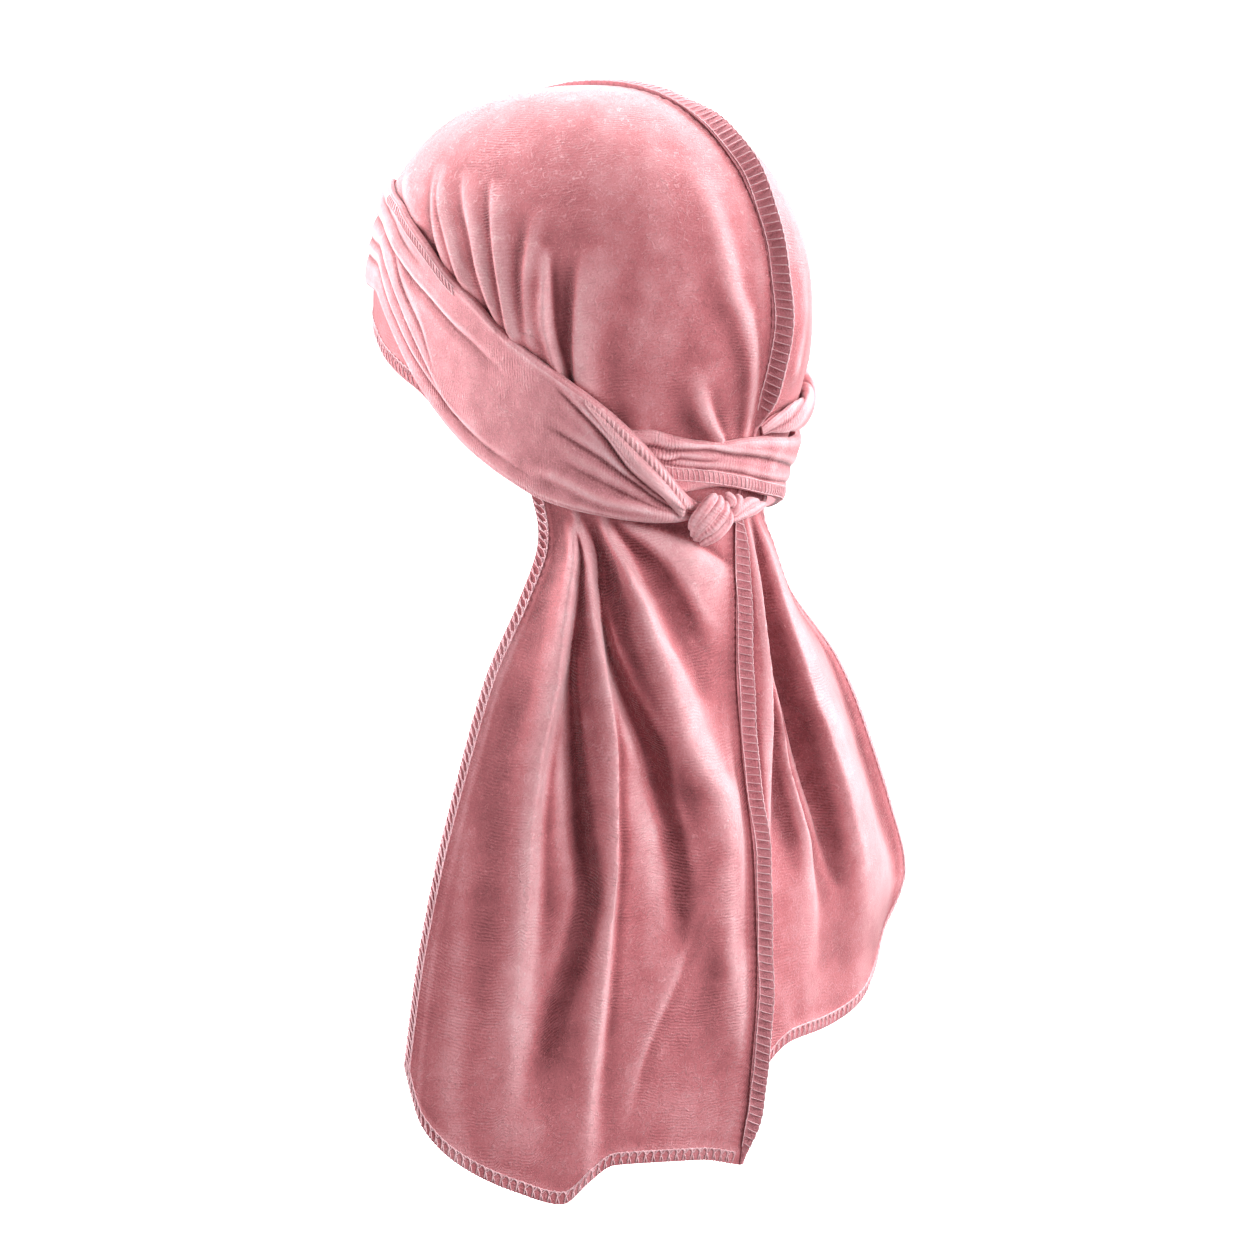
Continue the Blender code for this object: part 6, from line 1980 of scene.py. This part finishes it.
@dataclass(frozen=True)
class Overlock:
    """Threads that bind a border of cloth: stitches over the edge, loops inside them and a straight line."""

    reach: float = 5.2 * MM
    loops: float = 3.0 * MM
    line: float = 4.9 * MM
    slant: float = 1.3 * MM

    def sew(self, yarn: Yarn, place: Place, start: float, end: float) -> None:
        """Lays the threads along a border from start to end, in metres."""
        starts = np.arange(start, end, HEM_STITCH)
        yarn.rungs(place, starts, self.reach, -self.reach, self.slant)
        yarn.rungs(place, starts + HEM_STITCH / 2, self.loops, -self.loops, -2 * self.slant, 9)
        yarn.scallops(place, start, end, self.loops, self.reach, HEM_STITCH)
        yarn.line(place, start, end, self.line, HEM_STITCH, 1.5)


@dataclass(frozen=True)
class SeamRun:
    """Stretch of the seam allowance that shows: where it starts and ends, and how deep its stitches go."""

    start: float
    end: float
    reach: float


SEAM_RUNS = (SeamRun(-0.014, 0.186, 7.6 * MM), SeamRun(0.226, 0.480, 6.0 * MM))


def sew_seam(seam: SeamAllowance, material: bpy.types.Material) -> bpy.types.Object:
    """Lays the overlock threads over the seam allowance: rungs over its edge, a needle line and an edge line."""
    yarn = Yarn("seam_threads", radius=0.25 * MM)
    for run in SEAM_RUNS:
        starts = np.arange(run.start, run.end, STITCH)
        deepest = np.clip(seam.height(starts) - 0.8 * MM, 0.8 * MM, run.reach)
        yarn.rungs(seam.surface, starts, deepest, -deepest, 2 * seam.slant * STITCH)
        for inward in (run.reach, -run.reach, 0.45 * MM):
            yarn.line(seam.surface, run.start, run.end, inward, STITCH, 1.0)
    return yarn.build(material, "seam_allowance")


def sew_half(half: ClothHalf, material: bpy.types.Material) -> bpy.types.Object:
    """Lays the overlock threads round a half's hem, its outer edge and the open rim of its cap."""
    yarn = Yarn(f"hem_threads_{half.side.name.lower()}", radius=0.28 * MM)
    hem = Overlock()
    edge = Overlock(reach=6.4 * MM, loops=3.6 * MM, line=6.0 * MM, slant=1.8 * MM)
    for border, stitches in ((Border.HEM, hem), (Border.EDGE, edge)):
        track = ClothBorder(*half.grids["cape"], border)
        stitches.sew(yarn, track.surface, 0.004, track.length - 0.002)
    columns = half.grids["cape"][0].shape[1]
    rim = ClothBorder(*(grid[:, columns:] for grid in half.grids["cap"]), Border.HEM)
    edge.sew(yarn, rim.surface, 0.002, rim.length - 0.002)
    return yarn.build(material, "seam_allowance")


def sew_ties(left: Band, right: Band, material: bpy.types.Material) -> bpy.types.Object:
    """Lays the threads of the ties' stitched edges: the strip round the back and the upper edge on the left."""
    yarn = Yarn("tie_threads", radius=0.22 * MM, bow=0.2 * MM)
    for band, line, width, pitch in ((right, BACK_STRIP, 4.4 * MM, 2.2 * MM), (left, TOP_STRIP, 2.8 * MM, 2.4 * MM)):
        track = BandTrack(band, line)
        starts = np.arange(0.002, track.run[-1] - 0.002, pitch)
        yarn.rungs(track.surface, starts, 0.0, width, 0.6 * pitch, 9)
        for inward in (0.0, width):
            yarn.line(track.surface, 0.001, track.run[-1] - 0.001, inward, pitch, 1.0)
    return yarn.build(material, "velvet_ties")


def main() -> None:
    """Builds the durag from the head outwards, then the studio."""
    logging.basicConfig(level=logging.INFO, format="%(message)s")
    velvet = Velvet("velvet").material()
    # Lighter copy of the cloth's velvet for the ties and the knot: painted light.
    tie_velvet = Velvet(
        "velvet_ties", middle=(0.68, 0.27, 0.30), light=(0.88, 0.52, 0.56), bright=(0.95, 0.72, 0.75), fibres=0.8
    ).material()
    # Lighter copy of the cloth's velvet for the seam allowance: painted light, with fewer fibre marks and weaker ribs.
    allowance = Velvet("seam_velvet", middle=(0.60, 0.22, 0.25), fibres=0.4, ribs=0.5).material()
    # Copy of the velvet for the turned edge: the reverse side's few fibre marks, strong ribs and weak sheen, in lighter
    # colours that are painted light.
    reverse = Velvet(
        "reverse_side", middle=(0.74, 0.36, 0.39), light=(0.90, 0.57, 0.60), fibres=0.3, ribs=1.4, sheen=0.4
    ).material()
    thread = Thread().material()
    seam_line = SeamLine(RIM_LEFT, CAPE_LEFT, HEM_LEFT)
    left = ClothHalf(
        Wearer.LEFT, "panel_left", RIM_LEFT, FOLDS_LEFT, CAPE_LEFT, 112.0, HEM_LEFT, PLEATS_LEFT, POUCH_LEFT, seam_line,
        ((0, 8, 10), (8, 62, 34), (62, 112, 108), (112, 134, 48), (134, 172, 78), (172, 180, 22)),
        (96, 10, 176), 0.0, 11, Cut(0.17, 0.30, 0.036, Held.STRETCHED), Cut(0.17, 0.27, 0.037, Held.GATHERED), 2.1,
    )
    right = ClothHalf(
        Wearer.RIGHT, "panel_right", RIM_RIGHT, FOLDS_RIGHT, CAPE_RIGHT, 160.0, HEM_RIGHT, PLEATS_RIGHT, None, seam_line,
        ((0, 8, 8), (8, 70, 34), (70, 134, 84), (134, 160, 26), (160, 174, 56), (174, 180, 30)),
        (84, 8, 150), 0.024, 31, Cut(0.17, 0.30, 0.035, Held.STRETCHED), Cut(0.12, 0.26, 0.022, Held.GATHERED), 1.3,
    )
    for half in (left, right):
        half.build(velvet)
    seam = SeamAllowance(seam_line)
    seam.build(allowance)
    tie_left = Band("tie_band_left", "tie_left", TIE_LEFT, CREASES_LEFT, ((-46, 40, 66), (40, 166, 190)), 51)
    tie_right = Band("tie_band_right", "tie_right", TIE_RIGHT, CREASES_RIGHT, ((144, 215, 110), (215, 378, 150)), 61)
    for band, cut in (
        (tie_left, Cut(0.055, 0.31, 0.0145, Held.GATHERED)),
        (tie_right, Cut(0.046, 0.36, 0.0148, Held.GATHERED)),
    ):
        cut.declare(band.build(tie_velvet), "cap_left", "cap_right")
    Cut(0.012, 0.05, 0.0005, Held.FOLDED).declare(Turnover(tie_left).build(reverse), "tie_band_left")
    Twist().build(tie_velvet)
    Knot(KNOT_STRANDS).build(tie_velvet)
    sew_seam(seam, thread)
    for half in (left, right):
        sew_half(half, thread)
    sew_ties(tie_left, tie_right, thread)
    Studio().build()


if __name__ == "__main__":
    main()
